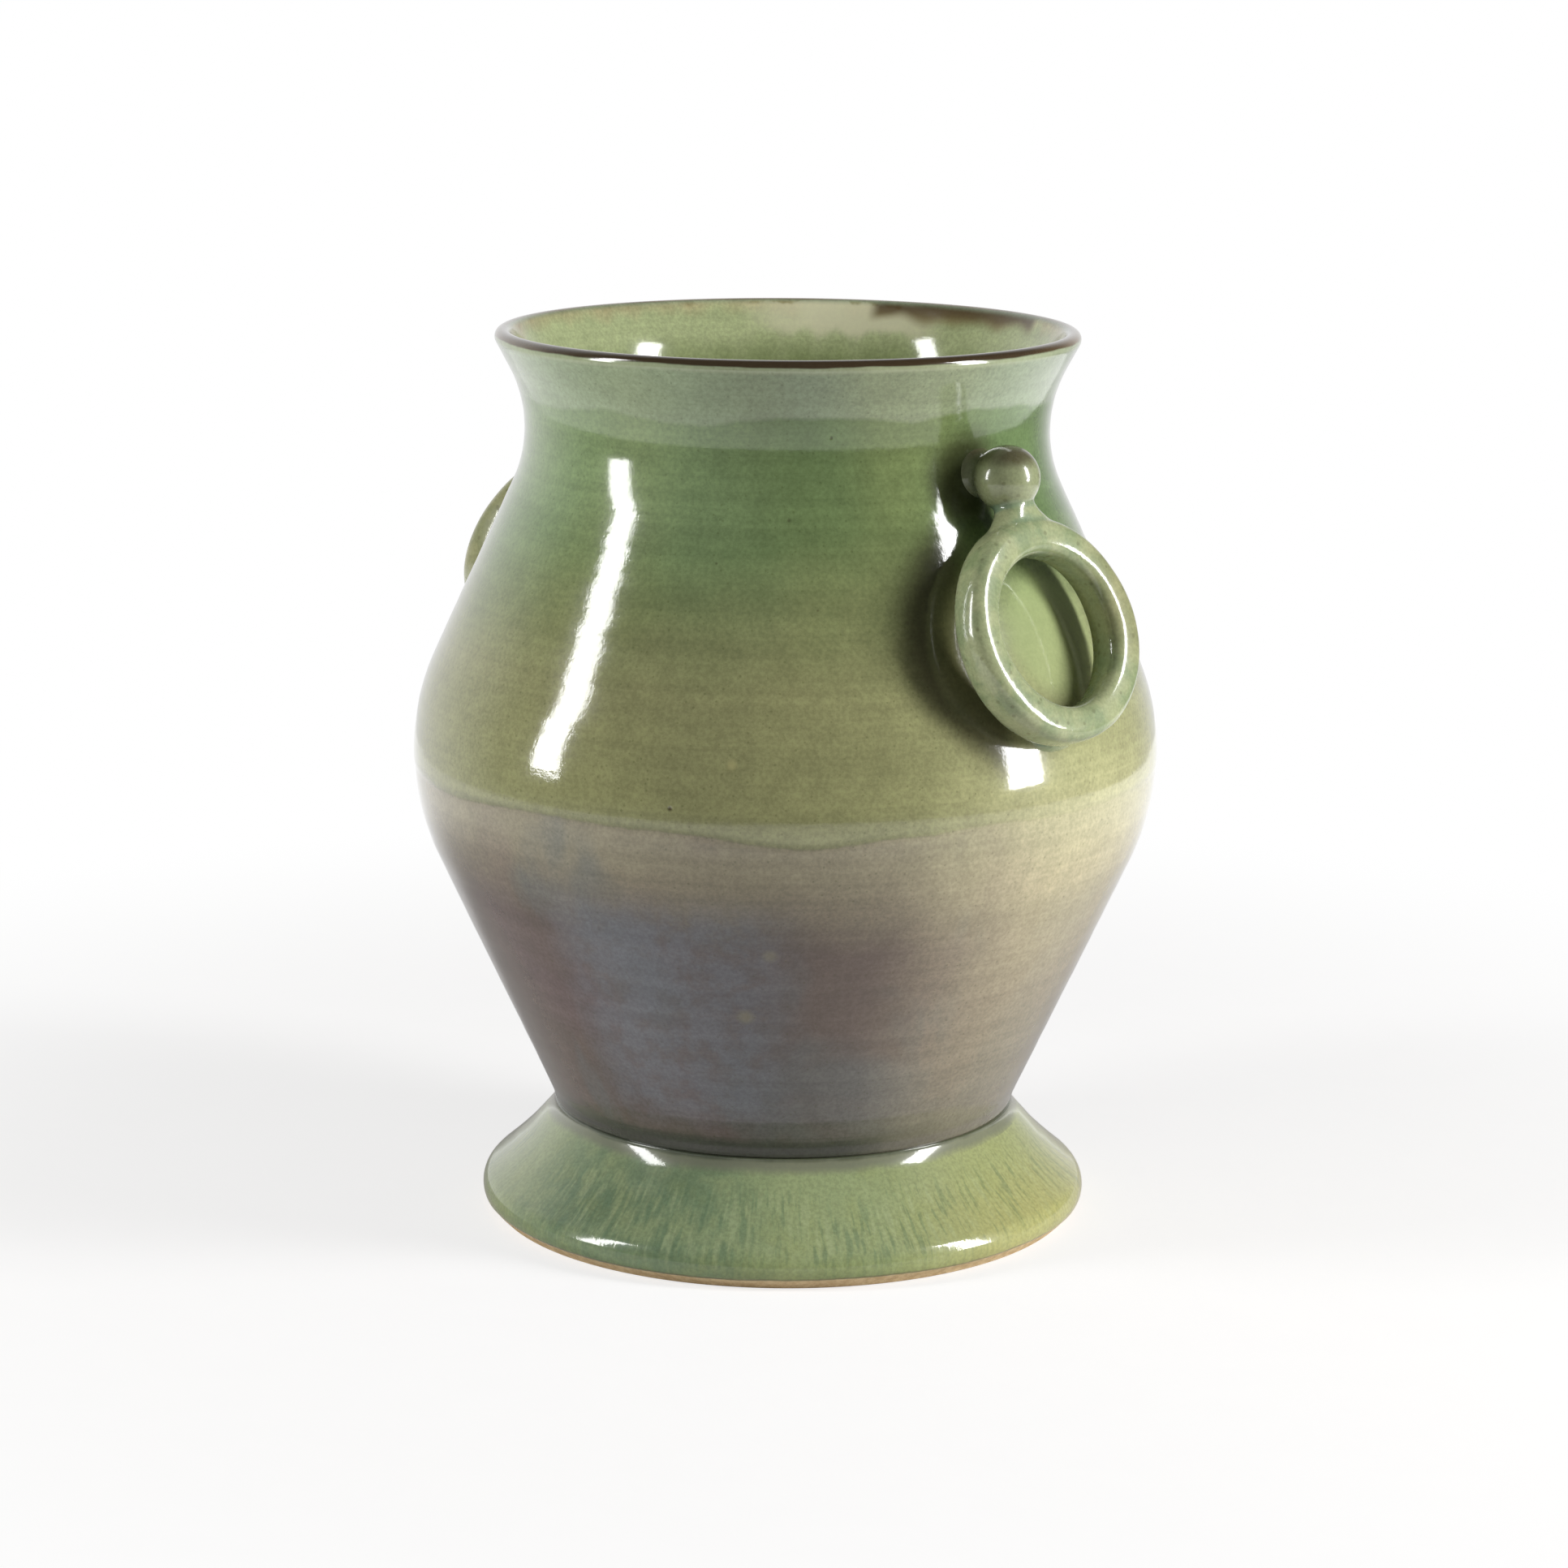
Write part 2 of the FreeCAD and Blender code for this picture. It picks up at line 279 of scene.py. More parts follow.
class VaseGlazeSettings(bpy.types.PropertyGroup):
    """Colours of the glazes, of the bare clay and of the stage."""
    green: colour("Green", "Glaze of the neck and shoulder", 113, 137, 90)
    olive: colour("Olive", "Glaze of the belly above the dip line", 157, 158, 116)
    blue_green: colour("Blue Green", "Thick translucent glaze under the lip", 156, 170, 142)
    tan: colour("Tan", "Thin single coat just under the dip line", 155, 147, 121)
    mauve: colour("Mauve", "Thin single coat of the lower body", 110, 96, 88)
    shadow_green: colour("Shadow Green", "Glaze pooled above the foot", 62, 65, 54)
    iron: colour("Iron Brown", "Bare and iron-rich edges", 62, 42, 24)
    inside: colour("Inside", "Glaze inside the mouth", 197, 208, 156)
    foot: colour("Foot Green", "Glaze of the foot", 157, 170, 124)
    clay: colour("Bare Clay", "Unglazed clay under the foot", 228, 206, 166)
    slip: colour("Slip", "Slip in the joint, paler than the pool above it", 128, 130, 112)
    handle: colour("Handle", "Pale glaze of the rings", 176, 183, 140)
    pool: colour("Pool", "Glaze pooled in the hollows of the handles", 106, 142, 122)
    floor: colour("Floor", "Studio floor", 240, 238, 237)


class VaseStageSettings(bpy.types.PropertyGroup):
    """Camera and lights of the photograph."""
    camera_azimuth: angle("Camera Azimuth", "Direction of the camera round the vase", 45.6)
    camera_pitch: angle("Camera Pitch", "How far the camera looks down", 12.32)
    camera_roll: angle("Camera Roll", "How far the camera leans", 0.366)
    camera_distance: length("Camera Distance", "Level distance from the axis of the vase", 1181.9)
    camera_height: length("Camera Height", "Height above the table", 379.3)
    camera_aside: length("Camera Aside", "How far the camera stands left of the axis", 0.33)
    focal_length: FloatProperty(name="Focal Length", description="On a sensor 36 mm wide",
                                default=98.53, subtype="DISTANCE_CAMERA")
    backdrop_turn: angle("Backdrop Turn", "How far left of straight behind it stands", 20)
    ambient: amount("Ambient", "Light from all round", 0.10)
    left_radiance: amount("Left Radiance", "Brightness of the narrow left softbox", 16.0)
    right_radiance: amount("Right Radiance", "Brightness of the wide right softbox", 23.0)


SETTINGS = {
    "vase_body": VaseBodySettings,
    "vase_foot": VaseFootSettings,
    "vase_handle": VaseHandleSettings,
    "vase_glaze": VaseGlazeSettings,
    "vase_stage": VaseStageSettings,
}


# Upright profiles: lines and tangent arcs in the plane of radius and height

def tangent(circle, following):
    """End points of the line that leaves one circle and meets the next.

    A circle is a centre and a radius. The radius is positive where the path turns left
    round its centre, negative where it turns right, and 0 for a plain point."""
    (centre, radius), (next_centre, next_radius) = circle, following
    gap = next_centre - centre
    heading = math.atan2(gap.y, gap.x) - math.asin((next_radius - radius) / gap.length)
    left = Vector((-math.sin(heading), math.cos(heading)))
    return centre - left * radius, next_centre - left * next_radius


def arc_points(centre, start, end, radius, spacing):
    """Points after start up to end, round the centre in the direction that the radius gives."""
    first = math.atan2(start.y - centre.y, start.x - centre.x)
    last = math.atan2(end.y - centre.y, end.x - centre.x)
    sweep = (last - first) % FULL_TURN if radius > 0 else -((first - last) % FULL_TURN)
    steps = max(2, math.ceil(abs(radius * sweep) / spacing))
    turns = [first + sweep * i / steps for i in range(1, steps + 1)]
    return [centre + Vector((math.cos(turn), math.sin(turn))) * abs(radius) for turn in turns]


def line_points(start, end, spacing):
    """Points after start up to end."""
    steps = max(1, math.ceil((end - start).length / spacing))
    return [start.lerp(end, i / steps) for i in range(1, steps + 1)]


def smooth_points(circles, spacings, round_spacing):
    """Points on the path round the circles; one spacing for each line and the arc after it."""
    lines = [tangent(circle, following) for circle, following in zip(circles, circles[1:])]
    points = [lines[0][0]]
    for index, (start, end) in enumerate(lines):
        points += line_points(start, end, spacings[index])
        centre, radius = circles[index + 1]
        if radius and index + 1 < len(lines):
            spacing = min(spacings[index + 1], max(round_spacing, abs(radius) / 8))
            points += arc_points(centre, end, lines[index + 1][0], radius, spacing)
    return points


def body_heights(size):
    belly = size.joint_height + size.belly_rise
    waist = belly + size.waist_rise
    return belly, waist, waist + size.lip_rise


def body_circles(size):
    """Circles that the outside of the body follows, from its underside to its lip."""
    belly, waist, top = body_heights(size)
    underside = size.joint_height + size.slip_thickness / 2
    lip = size.upper_wall / 2
    return [
        (Vector((0, underside)), 0),
        (Vector((size.joint_radius - size.base_edge, underside + size.base_edge)), size.base_edge),
        (Vector((size.belly_radius - size.belly_curve, belly)), size.belly_curve),
        (Vector((size.waist_radius + size.waist_curve, waist)), -size.waist_curve),
        (Vector((size.mouth_radius - lip, top - lip)), lip),
    ]


def floor_circles(size):
    """Circles of the inside wall from the lip down to the middle of the floor."""
    circles = body_circles(size)
    belly, waist = circles[2:4]
    start, end = tangent(*circles[1:3])
    along = (end - start).normalized()
    across = Vector((-along.y, along.x)) * (size.lower_wall + size.floor_corner)
    floor = circles[0][0].y + size.floor_thickness
    run = (floor + size.floor_corner - start.y - across.y) / along.y
    return [
        (waist[0], -waist[1] + size.upper_wall),
        (belly[0], -belly[1] + size.upper_wall),
        (start + along * run + across, -size.floor_corner),
        (Vector((0, floor)), 0),
    ]


def body_profile(size):
    """Outline of the body, from under its middle over the lip to the middle of its floor."""
    underside, outer, inner, lip = 8 * MM, 1.02 * MM, 3.2 * MM, 0.5 * MM
    spacings = [underside] + [outer] * 3 + [inner] * 5
    return smooth_points(body_circles(size) + floor_circles(size), spacings, lip)


def wall_radius(size, height):
    """Outside radius of the body at a height."""
    points = body_profile(size)
    crest = max(range(len(points)), key=lambda i: points[i].y)
    for low, high in zip(points[:crest], points[1:crest + 1]):
        if low.y <= height <= high.y and high.y > low.y:
            return low.x + (high.x - low.x) * (height - low.y) / (high.y - low.y)
    raise ValueError("no wall of the body at that height")


def foot_profile(foot, body):
    """Closed outline of the foot: down the inside, round the rolled edge and up to the joint."""
    top_height = body.joint_height - body.slip_thickness / 2
    top = Vector((body.joint_radius, top_height))
    roll = Vector((foot.radius - foot.roll_radius, foot.roll_height))
    near, far = foot.flare_radius, foot.flare_radius + foot.roll_radius
    gap = roll - top
    along = (gap.length ** 2 + near ** 2 - far ** 2) / (2 * gap.length)
    outward = Vector((-gap.y, gap.x)).normalized()
    flare = top + gap.normalized() * along + outward * math.sqrt(near ** 2 - along ** 2)
    flare_end = roll + (flare - roll).normalized() * foot.roll_radius
    rest_edge = Vector((roll.x + math.sqrt(foot.roll_radius ** 2 - foot.roll_height ** 2), 0))
    inner_top = Vector((body.joint_radius - foot.top_wall, top_height))
    inner_corner = Vector((rest_edge.x - foot.rest_width, foot.inner_edge))
    coarse, fine, round_edge, rolled = 3 * MM, 0.7 * MM, 0.4 * MM, 0.3 * MM
    inside = smooth_points([(inner_top, 0), (inner_corner, foot.inner_edge), (rest_edge, 0)],
                           [coarse, fine], round_edge)
    return (inside
            + arc_points(roll, rest_edge, flare_end, foot.roll_radius, rolled)
            + arc_points(flare, flare_end, top, -foot.flare_radius, fine)
            + line_points(top, inner_top, coarse))


def cove_profile(foot, body):
    """Closed outline of the slip in the groove: upright at the wall, smooth into the flare."""
    top = Vector((body.joint_radius, body.joint_height - body.slip_thickness / 2))
    flare = [p for p in foot_profile(foot, body) if p.x > top.x]
    nearest = min(range(1, len(flare)),
                  key=lambda i: abs((flare[i] - top).length - foot.cove_reach))
    low = flare[nearest]
    rising = (flare[nearest] - flare[nearest - 1]).normalized()
    wall = tangent(*body_circles(body)[1:3])[0]
    high = Vector((wall.x + foot.cove_stand, wall.y - foot.cove_drop))
    corner = low + rising * ((high.x - low.x) / rising.x)
    shares = [i / COVE_STEPS for i in range(COVE_STEPS + 1)]
    curve = [low.lerp(corner, t).lerp(corner.lerp(high, t), t) for t in shares]
    inside = Vector((foot.cove_depth, 0))
    return curve + [high - inside, low - inside, low]


# Helpers that add and join nodes, in a shader or in a geometry tree

class Nodes:
    """Adds nodes to one tree; an input's value is a number, a colour or another node's socket."""

    def __init__(self, tree):
        self.tree = tree
        tree.nodes.clear()

    def feed(self, socket, value):
        if isinstance(value, bpy.types.NodeSocket):
            self.tree.links.new(value, socket)
        else:
            socket.default_value = value

    def add(self, kind, inputs=None, **settings):
        node = self.tree.nodes.new(kind)
        for name, value in settings.items():
            setattr(node, name, value)
        for key, value in (inputs or {}).items():
            self.feed(node.inputs[key], value)
        return node

    def out(self, kind, inputs=None, **settings):
        """First output of a new node."""
        return self.add(kind, inputs, **settings).outputs[0]

    def math(self, operation, *values, clamp=False):
        node = self.add("ShaderNodeMath", operation=operation, use_clamp=clamp)
        for socket, value in zip(node.inputs, values):
            self.feed(socket, value)
        return node.outputs[0]

    def plus(self, *values):
        return functools.reduce(lambda a, b: self.math("ADD", a, b), values)

    def times(self, *values):
        return functools.reduce(lambda a, b: self.math("MULTIPLY", a, b), values)

    def minus(self, first, second):
        return self.math("SUBTRACT", first, second)

    def weighed(self, *parts):
        """Sum of values that each come with a weight."""
        return self.plus(*(self.times(value, weight) for value, weight in parts))

    def in_mm(self, value):
        return self.times(value, 1 / MM)

    def vector(self, operation, *values):
        node = self.add("ShaderNodeVectorMath", dict(enumerate(values)), operation=operation)
        gives_number = operation in ("DOT_PRODUCT", "DISTANCE", "LENGTH")
        return node.outputs["Value" if gives_number else "Vector"]

    def stretched(self, vector, level, upright):
        return self.vector("MULTIPLY", vector, (level, level, upright))

    def combine(self, x, y, z):
        return self.out("ShaderNodeCombineXYZ", {0: x, 1: y, 2: z})

    def separate(self, vector):
        return self.add("ShaderNodeSeparateXYZ", {0: vector}).outputs

    def noise(self, vector, scale, detail=2.0, roughness=0.5, distortion=0.0):
        return self.out("ShaderNodeTexNoise", {
            "Vector": vector, "Scale": scale, "Detail": detail, "Roughness": roughness,
            "Distortion": distortion})

    def swing(self, vector, scale, size, detail=2.0):
        """Noise from about -size to +size."""
        return self.times(self.minus(self.noise(vector, scale, detail), 0.5), size * NOISE_STRETCH)

    def rise(self, value, low, high, to_low=0.0, to_high=1.0):
        """Smooth change from to_low to to_high while the value goes from low to high."""
        return self.out("ShaderNodeMapRange", {
            "Value": value, "From Min": low, "From Max": high, "To Min": to_low, "To Max": to_high},
            interpolation_type="SMOOTHSTEP")

    def fall(self, value, low, high):
        return self.rise(value, low, high, 1.0, 0.0)

    def between(self, value, low, full, waning, high):
        """1 between full and waning, and 0 below low and above high."""
        return self.times(self.rise(value, low, full), self.fall(value, waning, high))

    def blend(self, share, first, second, mode="MIX"):
        node = self.add("ShaderNodeMix", data_type="RGBA", blend_type=mode)
        for index, value in ((0, share), (6, paint(first)), (7, paint(second))):
            self.feed(node.inputs[index], value)
        return node.outputs[2]

    def over(self, coat, tint, *shares):
        """Lays a tint over a coat, by the product of the shares."""
        return self.blend(self.times(*shares), coat, tint)

    def shaded(self, coat, shade):
        """Coat made darker or lighter by a factor."""
        return self.blend(1.0, coat, self.combine(shade, shade, shade), "MULTIPLY")

    def ramp(self, value, low, high, stops):
        """Tints at values between low and high."""
        share = self.math("DIVIDE", self.minus(value, low), high - low, clamp=True)
        node = self.add("ShaderNodeValToRGB", {0: share})
        elements = node.color_ramp.elements
        while len(elements) < len(stops):
            elements.new(0.5)
        for element, (position, tint) in zip(elements, stops):
            element.position = (position - low) / (high - low)
            element.color = paint(tint)
        return node.outputs[0]


# Thrown pieces: one tree turns a profile round the upright axis

POT_INPUTS = {
    "Throwing Depth": 0.0, "Throwing Pitch": 4 * MM, "Unevenness": 0.0, "Dip Height": -1.0,
    "Dip Wave": 0.0, "Dip Sag": 0.0, "Glaze Step": 0.0, "Seed": 1.0,
}


def turning_tree():
    """Tree that turns an object's profile into a pot, with the marks of throwing and dipping."""
    tree = bpy.data.node_groups.new("thrown_pot", "GeometryNodeTree")
    sockets = tree.interface
    for name, kind in (("Profile", "Geometry"), ("Columns", "Int"), ("Glaze", "Material")):
        sockets.new_socket(name, in_out="INPUT", socket_type="NodeSocket" + kind)
    for name, default in POT_INPUTS.items():
        socket = sockets.new_socket(name, in_out="INPUT", socket_type="NodeSocketFloat")
        socket.default_value = default
    sockets.new_socket("Pot", in_out="OUTPUT", socket_type="NodeSocketGeometry")
    n = Nodes(tree)
    given = n.add("NodeGroupInput").outputs
    profile = given["Profile"]
    rows = n.add("GeometryNodeAttributeDomainSize", {0: profile}).outputs["Point Count"]
    seams = n.plus(given["Columns"], 1)
    grid = n.out("GeometryNodeMeshGrid", {
        "Size X": 1.0, "Size Y": 1.0, "Vertices X": seams, "Vertices Y": rows})
    position = n.out("GeometryNodeInputPosition")
    x, y, _ = n.separate(position)
    row = n.math("ROUND", n.times(n.plus(y, 0.5), n.minus(rows, 1)))

    def along_profile(value, data_type):
        return n.add("GeometryNodeSampleIndex", {"Geometry": profile, "Value": value, "Index": row},
                     data_type=data_type).outputs["Value"]

    def attribute(name, data_type="FLOAT"):
        node = n.add("GeometryNodeInputNamedAttribute", {"Name": name}, data_type=data_type)
        return along_profile(node.outputs["Attribute"], data_type)

    turn = n.times(n.plus(x, 0.5), FULL_TURN)
    cosine, sine = n.math("COSINE", turn), n.math("SINE", turn)

    def turned(radius, height):
        return n.combine(n.times(cosine, radius), n.times(sine, radius), height)

    radius, _, height = n.separate(along_profile(position, "FLOAT_VECTOR"))
    facing_out, _, facing_up = n.separate(attribute("facing", "FLOAT_VECTOR"))
    reach, relief, outer = map(attribute, ("reach", "relief", "outer"))
    around = n.combine(cosine, sine, 0.0)
    place = turned(radius, height)
    seed = given["Seed"]

    spiral = turned(0.5, n.plus(n.math("DIVIDE", height, given["Throwing Pitch"]), seed))
    throwing = n.times(n.noise(spiral, 1.0, 1.0, 0.45), given["Throwing Depth"])
    moved = n.vector("ADD", place, n.combine(seed, 0.0, 0.0))
    wander = n.times(n.noise(moved, 13.0, 1.0, 0.4), given["Unevenness"])
    front = n.vector("DOT_PRODUCT", around, level_way(SAG))
    sag = n.math("EXPONENT", n.times(n.minus(front, 1.0), SAG_NARROWNESS))
    wave = n.minus(n.noise(n.vector("ADD", around, n.combine(0.0, 0.0, seed)), 1.7), 0.5)
    dip_line = n.minus(n.plus(given["Dip Height"], n.times(wave, given["Dip Wave"], 4.0)),
                       n.times(sag, given["Dip Sag"]))
    above_dip = n.plus(n.minus(height, dip_line), n.times(n.minus(1.0, outer), 0.1))
    step = n.times(n.fall(above_dip, -DIP_EDGE, DIP_EDGE), given["Glaze Step"])
    depth = n.times(n.plus(throwing, wander, step), relief)

    pot = grid
    for name, value in (("reach", reach), ("above_dip", above_dip)):
        pot = n.out("GeometryNodeStoreNamedAttribute", {
            "Geometry": pot, "Name": name, "Value": value}, data_type="FLOAT", domain="POINT")
    offset = n.out("ShaderNodeVectorMath", {
        0: turned(facing_out, facing_up), "Scale": n.times(depth, -1.0)}, operation="SCALE")
    for kind, inputs in (
            ("SetPosition", {"Position": place, "Offset": offset}),
            ("MergeByDistance", {"Distance": WELD}),
            ("SetShadeSmooth", {"Shade Smooth": True}),
            ("RealizeInstances", {}),
            ("SetMaterial", {"Material": given["Glaze"]})):
        pot = n.out("GeometryNode" + kind, {"Geometry": pot, **inputs})
    n.add("NodeGroupOutput", {"Pot": pot})
    return tree


def new_piece(name, mesh):
    piece = bpy.data.objects.new(name, mesh)
    bpy.context.scene.collection.objects.link(piece)
    return piece


def baked(piece):
    """Plain mesh of a piece, with what its modifiers made of it, in place of the old one."""
    bpy.context.view_layer.update()
    depsgraph = bpy.context.evaluated_depsgraph_get()
    mesh = bpy.data.meshes.new_from_object(piece.evaluated_get(depsgraph))
    piece.modifiers.clear()
    piece.data = mesh
    mesh.name = piece.name
    return mesh


def profile_object(name, points, reliefs, crest):
    """Object that holds the profile as loose points, with what the turning tree reads from each."""
    mesh = bpy.data.meshes.new(name)
    mesh.from_pydata([(p.x, 0, p.y) for p in points], [], [])
    runs = [0.0]
    for before, after in zip(points, points[1:]):
        runs.append(runs[-1] + (after - before).length)
    facing = []
    for index in range(len(points)):
        before, after = points[max(index - 1, 0)], points[min(index + 1, len(points) - 1)]
        along = (after - before).normalized()
        facing += [along.y, 0.0, -along.x]
    columns = {"reach": [runs[crest] - run for run in runs], "relief": reliefs,
               "outer": [1.0 if index <= crest else 0.0 for index in range(len(points))]}
    for key, values in columns.items():
        mesh.attributes.new(key, "FLOAT", "POINT").data.foreach_set("value", values)
    mesh.attributes.new("facing", "FLOAT_VECTOR", "POINT").data.foreach_set("vector", facing)
    return new_piece(name, mesh)


def turned_piece(name, points, reliefs, crest, inputs):
    """Turns a profile into a plain closed mesh with its faces outwards."""
    piece = profile_object(name, points, reliefs, crest)
    tree = bpy.data.node_groups.get("thrown_pot") or turning_tree()
    modifier = piece.modifiers.new("throwing", "NODES")
    modifier.node_group = tree
    sockets = [item for item in tree.interface.items_tree if item.in_out == "INPUT"]
    identifiers = {item.name: item.identifier for item in sockets}
    for key, value in inputs.items():
        modifier[identifiers[key]] = value
    mesh = baked(piece)
    shape = bmesh.new()
    shape.from_mesh(mesh)
    if shape.calc_volume(signed=True) < 0:
        bmesh.ops.reverse_faces(shape, faces=shape.faces)
        shape.to_mesh(mesh)
    open_edges = sum(not edge.is_manifold for edge in shape.edges)
    shape.free()
    if open_edges:
        raise RuntimeError(f"{name} has {open_edges} open edges")
    return piece


def settle(piece, slot, *nodes):
    """Tells the frame what the piece rides on and hides the parts that it stands for; the slot is
    not used.
    """
    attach(piece, "root")
    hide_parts(*nodes)


# Finishes

def new_finish(name):
    """New material, its nodes and the place of each point on the piece."""
    material = bpy.data.materials.new(name)
    material.use_nodes = True
    n = Nodes(material.node_tree)
    return material, n, n.add("ShaderNodeTexCoord").outputs["Object"]


def glazed(n, coat, height, depth, roughness, glass, glass_roughness=GLASS_ROUGHNESS):
    """Ends a finish: glass over clay, with the height as fine relief."""
    bump = n.out("ShaderNodeBump", {"Height": height, "Distance": depth, "Strength": 1.0})
    shader = n.out("ShaderNodeBsdfPrincipled", {
        "Base Color": coat, "Roughness": roughness, "Normal": bump, "Coat Normal": bump,
        "Coat Weight": glass, "Coat Roughness": glass_roughness, "Coat IOR": GLASS_IOR,
        "IOR": GLASS_IOR, "Specular IOR Level": CLAY_GLOSS})
    n.add("ShaderNodeOutputMaterial", {"Surface": shader})


def own_value(n, name):
    return n.add("ShaderNodeAttribute", attribute_name=name).outputs["Fac"]


def facing_way(n, spot, azimuth):
    """1 where a place round the axis faces an azimuth in degrees, and -1 on the far side."""
    around = n.vector("NORMALIZE", n.stretched(spot, 1.0, 0.0))
    return n.vector("DOT_PRODUCT", around, level_way(azimuth))


def specks(n, spot, scale, size, seed):
    """Round spots of a size, as a share of their spacing."""
    moved = n.vector("ADD", spot, (seed, seed, seed))
    cells = n.out("ShaderNodeTexVoronoi", {"Vector": moved, "Scale": scale, "Randomness": 1.0})
    return n.fall(cells, size * 0.55, size)


def outer_coats(n, spot, level, above, mottle, tints):
    """Green coat over a thin mauve one, with the rolled edge of the dip between them."""
    tall = n.stretched(spot, 1.0, 0.35)
    drift = n.plus(n.swing(tall, 17.0, 7.0), n.swing(spot, 70.0, 3.5, 4.0))
    drifting = n.plus(level, drift)
    upper = n.ramp(drifting, 120.0, 252.0, [
        (126.0, tints.olive), (165.0, tints.olive), (200.0, tints.green), (251.0, tints.green)])
    wave = n.plus(n.swing(n.stretched(spot, 1.0, 0.0), 24.0, 3.4, 1.0), n.swing(spot, 150.0, 0.6))
    upper = n.over(upper, tints.blue_green, n.rise(n.minus(level, wave), 232.7, 234.3), 0.9)

    lower = n.ramp(drifting, 28.0, 134.0, [
        (98.0, tints.mauve), (122.0, tints.tan), (133.0, tints.tan)])
    blue = n.noise(tall, 24.0, 3.0, 0.6, 0.4)
    lower = n.over(lower, "blue_bloom", n.rise(blue, 0.52, 0.68, 0.0, 0.55))
    rosy = n.noise(n.vector("ADD", tall, (3.1, 0.0, 0.0)), 21.0, 3.0, 0.6, 0.4)
    lower = n.over(lower, "rosy_bloom", n.rise(rosy, 0.54, 0.7, 0.0, 0.4))
    lower = n.over(lower, "violet_bloom", n.rise(facing_way(n, spot, -64.0), 0.90, 0.985),
                   n.between(level, 34.0, 50.0, 100.0, 116.0), n.rise(mottle, 0.3, 0.6, 0.35, 0.75))
    streaks = n.noise(n.stretched(spot, 9.0, 330.0), 1.0, 3.0, 0.6)
    pooled = n.plus(level, n.weighed((drift, 0.25), (streaks, 5.0)))
    lower = n.over(lower, tints.shadow_green, n.rise(pooled, 37.5, 42.5, 0.95, 0.0))

    ragged = n.plus(above, n.swing(spot, 260.0, 0.35, 3.0), n.swing(spot, 60.0, 0.5))
    coat = n.blend(n.rise(ragged, -0.5, 0.7), lower, upper)
    coat = n.over(coat, "rolled_edge", n.between(ragged, -0.6, 0.1, 0.3, 2.6), 0.32)
    warm = n.rise(n.noise(tall, 11.0), 0.42, 0.62, 0.0, 0.28)
    coat = n.over(coat, "warm_green", warm, n.rise(above, 0.0, 8.0))
    # Painted light: paler tints on the side that faces the right softbox, growing downwards from
    # the shoulder
    faces_right_softbox = n.plus(facing_way(n, spot, 22.0), n.swing(tall, 20.0, 0.08))
    painted_light_tints = n.ramp(level, 30.0, 200.0, [
        (34.0, "sunny_base"), (76.0, "sunny_low"), (112.0, "sunny_belly"), (136.0, "sunny_dip"),
        (190.0, "sunny_shoulder")])
    coat = n.over(coat, painted_light_tints, n.rise(faces_right_softbox, 0.62, 0.98), n.rise(level, 205.0, 120.0, 0.0, 0.75))
    return n.over(coat, "airy_green", n.rise(facing_way(n, spot, -100.0), 0.50, 0.88),
                  n.rise(level, 178.0, 212.0, 0.0, 0.32))


def by_handles(n, coat, spot, handle, body):
    """Painted light on the wall through each ring's hole, and painted deep shade beside each ring
    and each ball.
    """
    x, y, height = n.separate(spot)
    side = n.math("SIGN", x)
    aside = n.times(y, side)
    same_side = n.combine(n.times(x, side), aside, height)
    _, normal, _ = handle_frame(handle, body)
    seat = ring_centre(handle, body) - normal * (handle.ring_width / 2 + handle.head_stand)
    ball_height = knob_centre(handle, body).z
    ball = Vector((wall_radius(body, ball_height), 0, ball_height))

    def near(place, low, high, share):
        distance = n.vector("DISTANCE", same_side, tuple(place))
        return n.rise(distance, low * MM, high * MM, share, 0.0)

    # Painted light: a pale spot where light through the ring's hole falls on the wall
    coat = n.over(coat, "ring_shelter", near(seat + SIDEWAYS * (11 * MM), 13, 22, 0.5))
    under_ring = n.times(near(seat, 33, 43, 0.75), n.fall(aside, -19 * MM, -10 * MM))
    under_ball = near(ball - SIDEWAYS * (5 * MM), 7, 17, 0.7)
    return n.over(coat, "deep_shade", n.math("MAXIMUM", under_ring, under_ball))


def fired_marks(n, spot, body):
    """Where the dark pinholes and the pale lumps of the firing lie."""
    pits, lumps = 0.0, 0.0
    for azimuth, mark_height, size, strength in FIRING_MARKS:
        height = mark_height * MM
        centre = Vector(level_way(azimuth)) * wall_radius(body, height) + UPWARDS * height
        distance = n.vector("DISTANCE", spot, tuple(centre))
        mark = n.rise(distance, size * 0.2 * MM, size * MM, abs(strength), 0.0)
        if strength < 0:
            pits = n.math("MAXIMUM", pits, mark)
        else:
            lumps = n.math("MAXIMUM", lumps, mark)
    return pits, lumps


def inner_coat(n, spot, reach, shade, tints):
    """Green inside, painted darker further down as shade, with a cream patch and a scorch that has
    run.
    """
    runs = n.plus(reach, n.swing(n.stretched(spot, 1.0, 0.2), 110.0, 4.0, 3.0))
    # Painted shade: the inside is darker further down
    coat = n.shaded(n.ramp(runs, -130.0, 0.0, [
        (-130.0, "inside_deep"), (-36.0, "inside_low"), (-24.0, "inside_neck"),
        (-13.0, tints.inside), (-7.0, tints.inside), (-3.0, "inside_warm"),
        (-1.0, "inside_brown")]), shade)
    cream = n.plus(facing_way(n, spot, 122.0), n.swing(spot, 60.0, 0.03))
    coat = n.over(coat, "cream", n.rise(cream, 0.90, 0.99),
                  n.between(runs, -14.0, -10.0, -2.5, -1.5), 0.8)
    drip = n.plus(reach, n.swing(n.stretched(spot, 1.0, 0.25), 70.0, 4.0, 1.0))
    brown = n.blend(n.rise(reach, -8.0, -2.5), "scorch_edge", "scorch")
    return n.over(coat, brown, n.rise(facing_way(n, spot, 93.0), 0.905, 0.93),
                  n.rise(drip, -9.0, -4.5), 0.9)


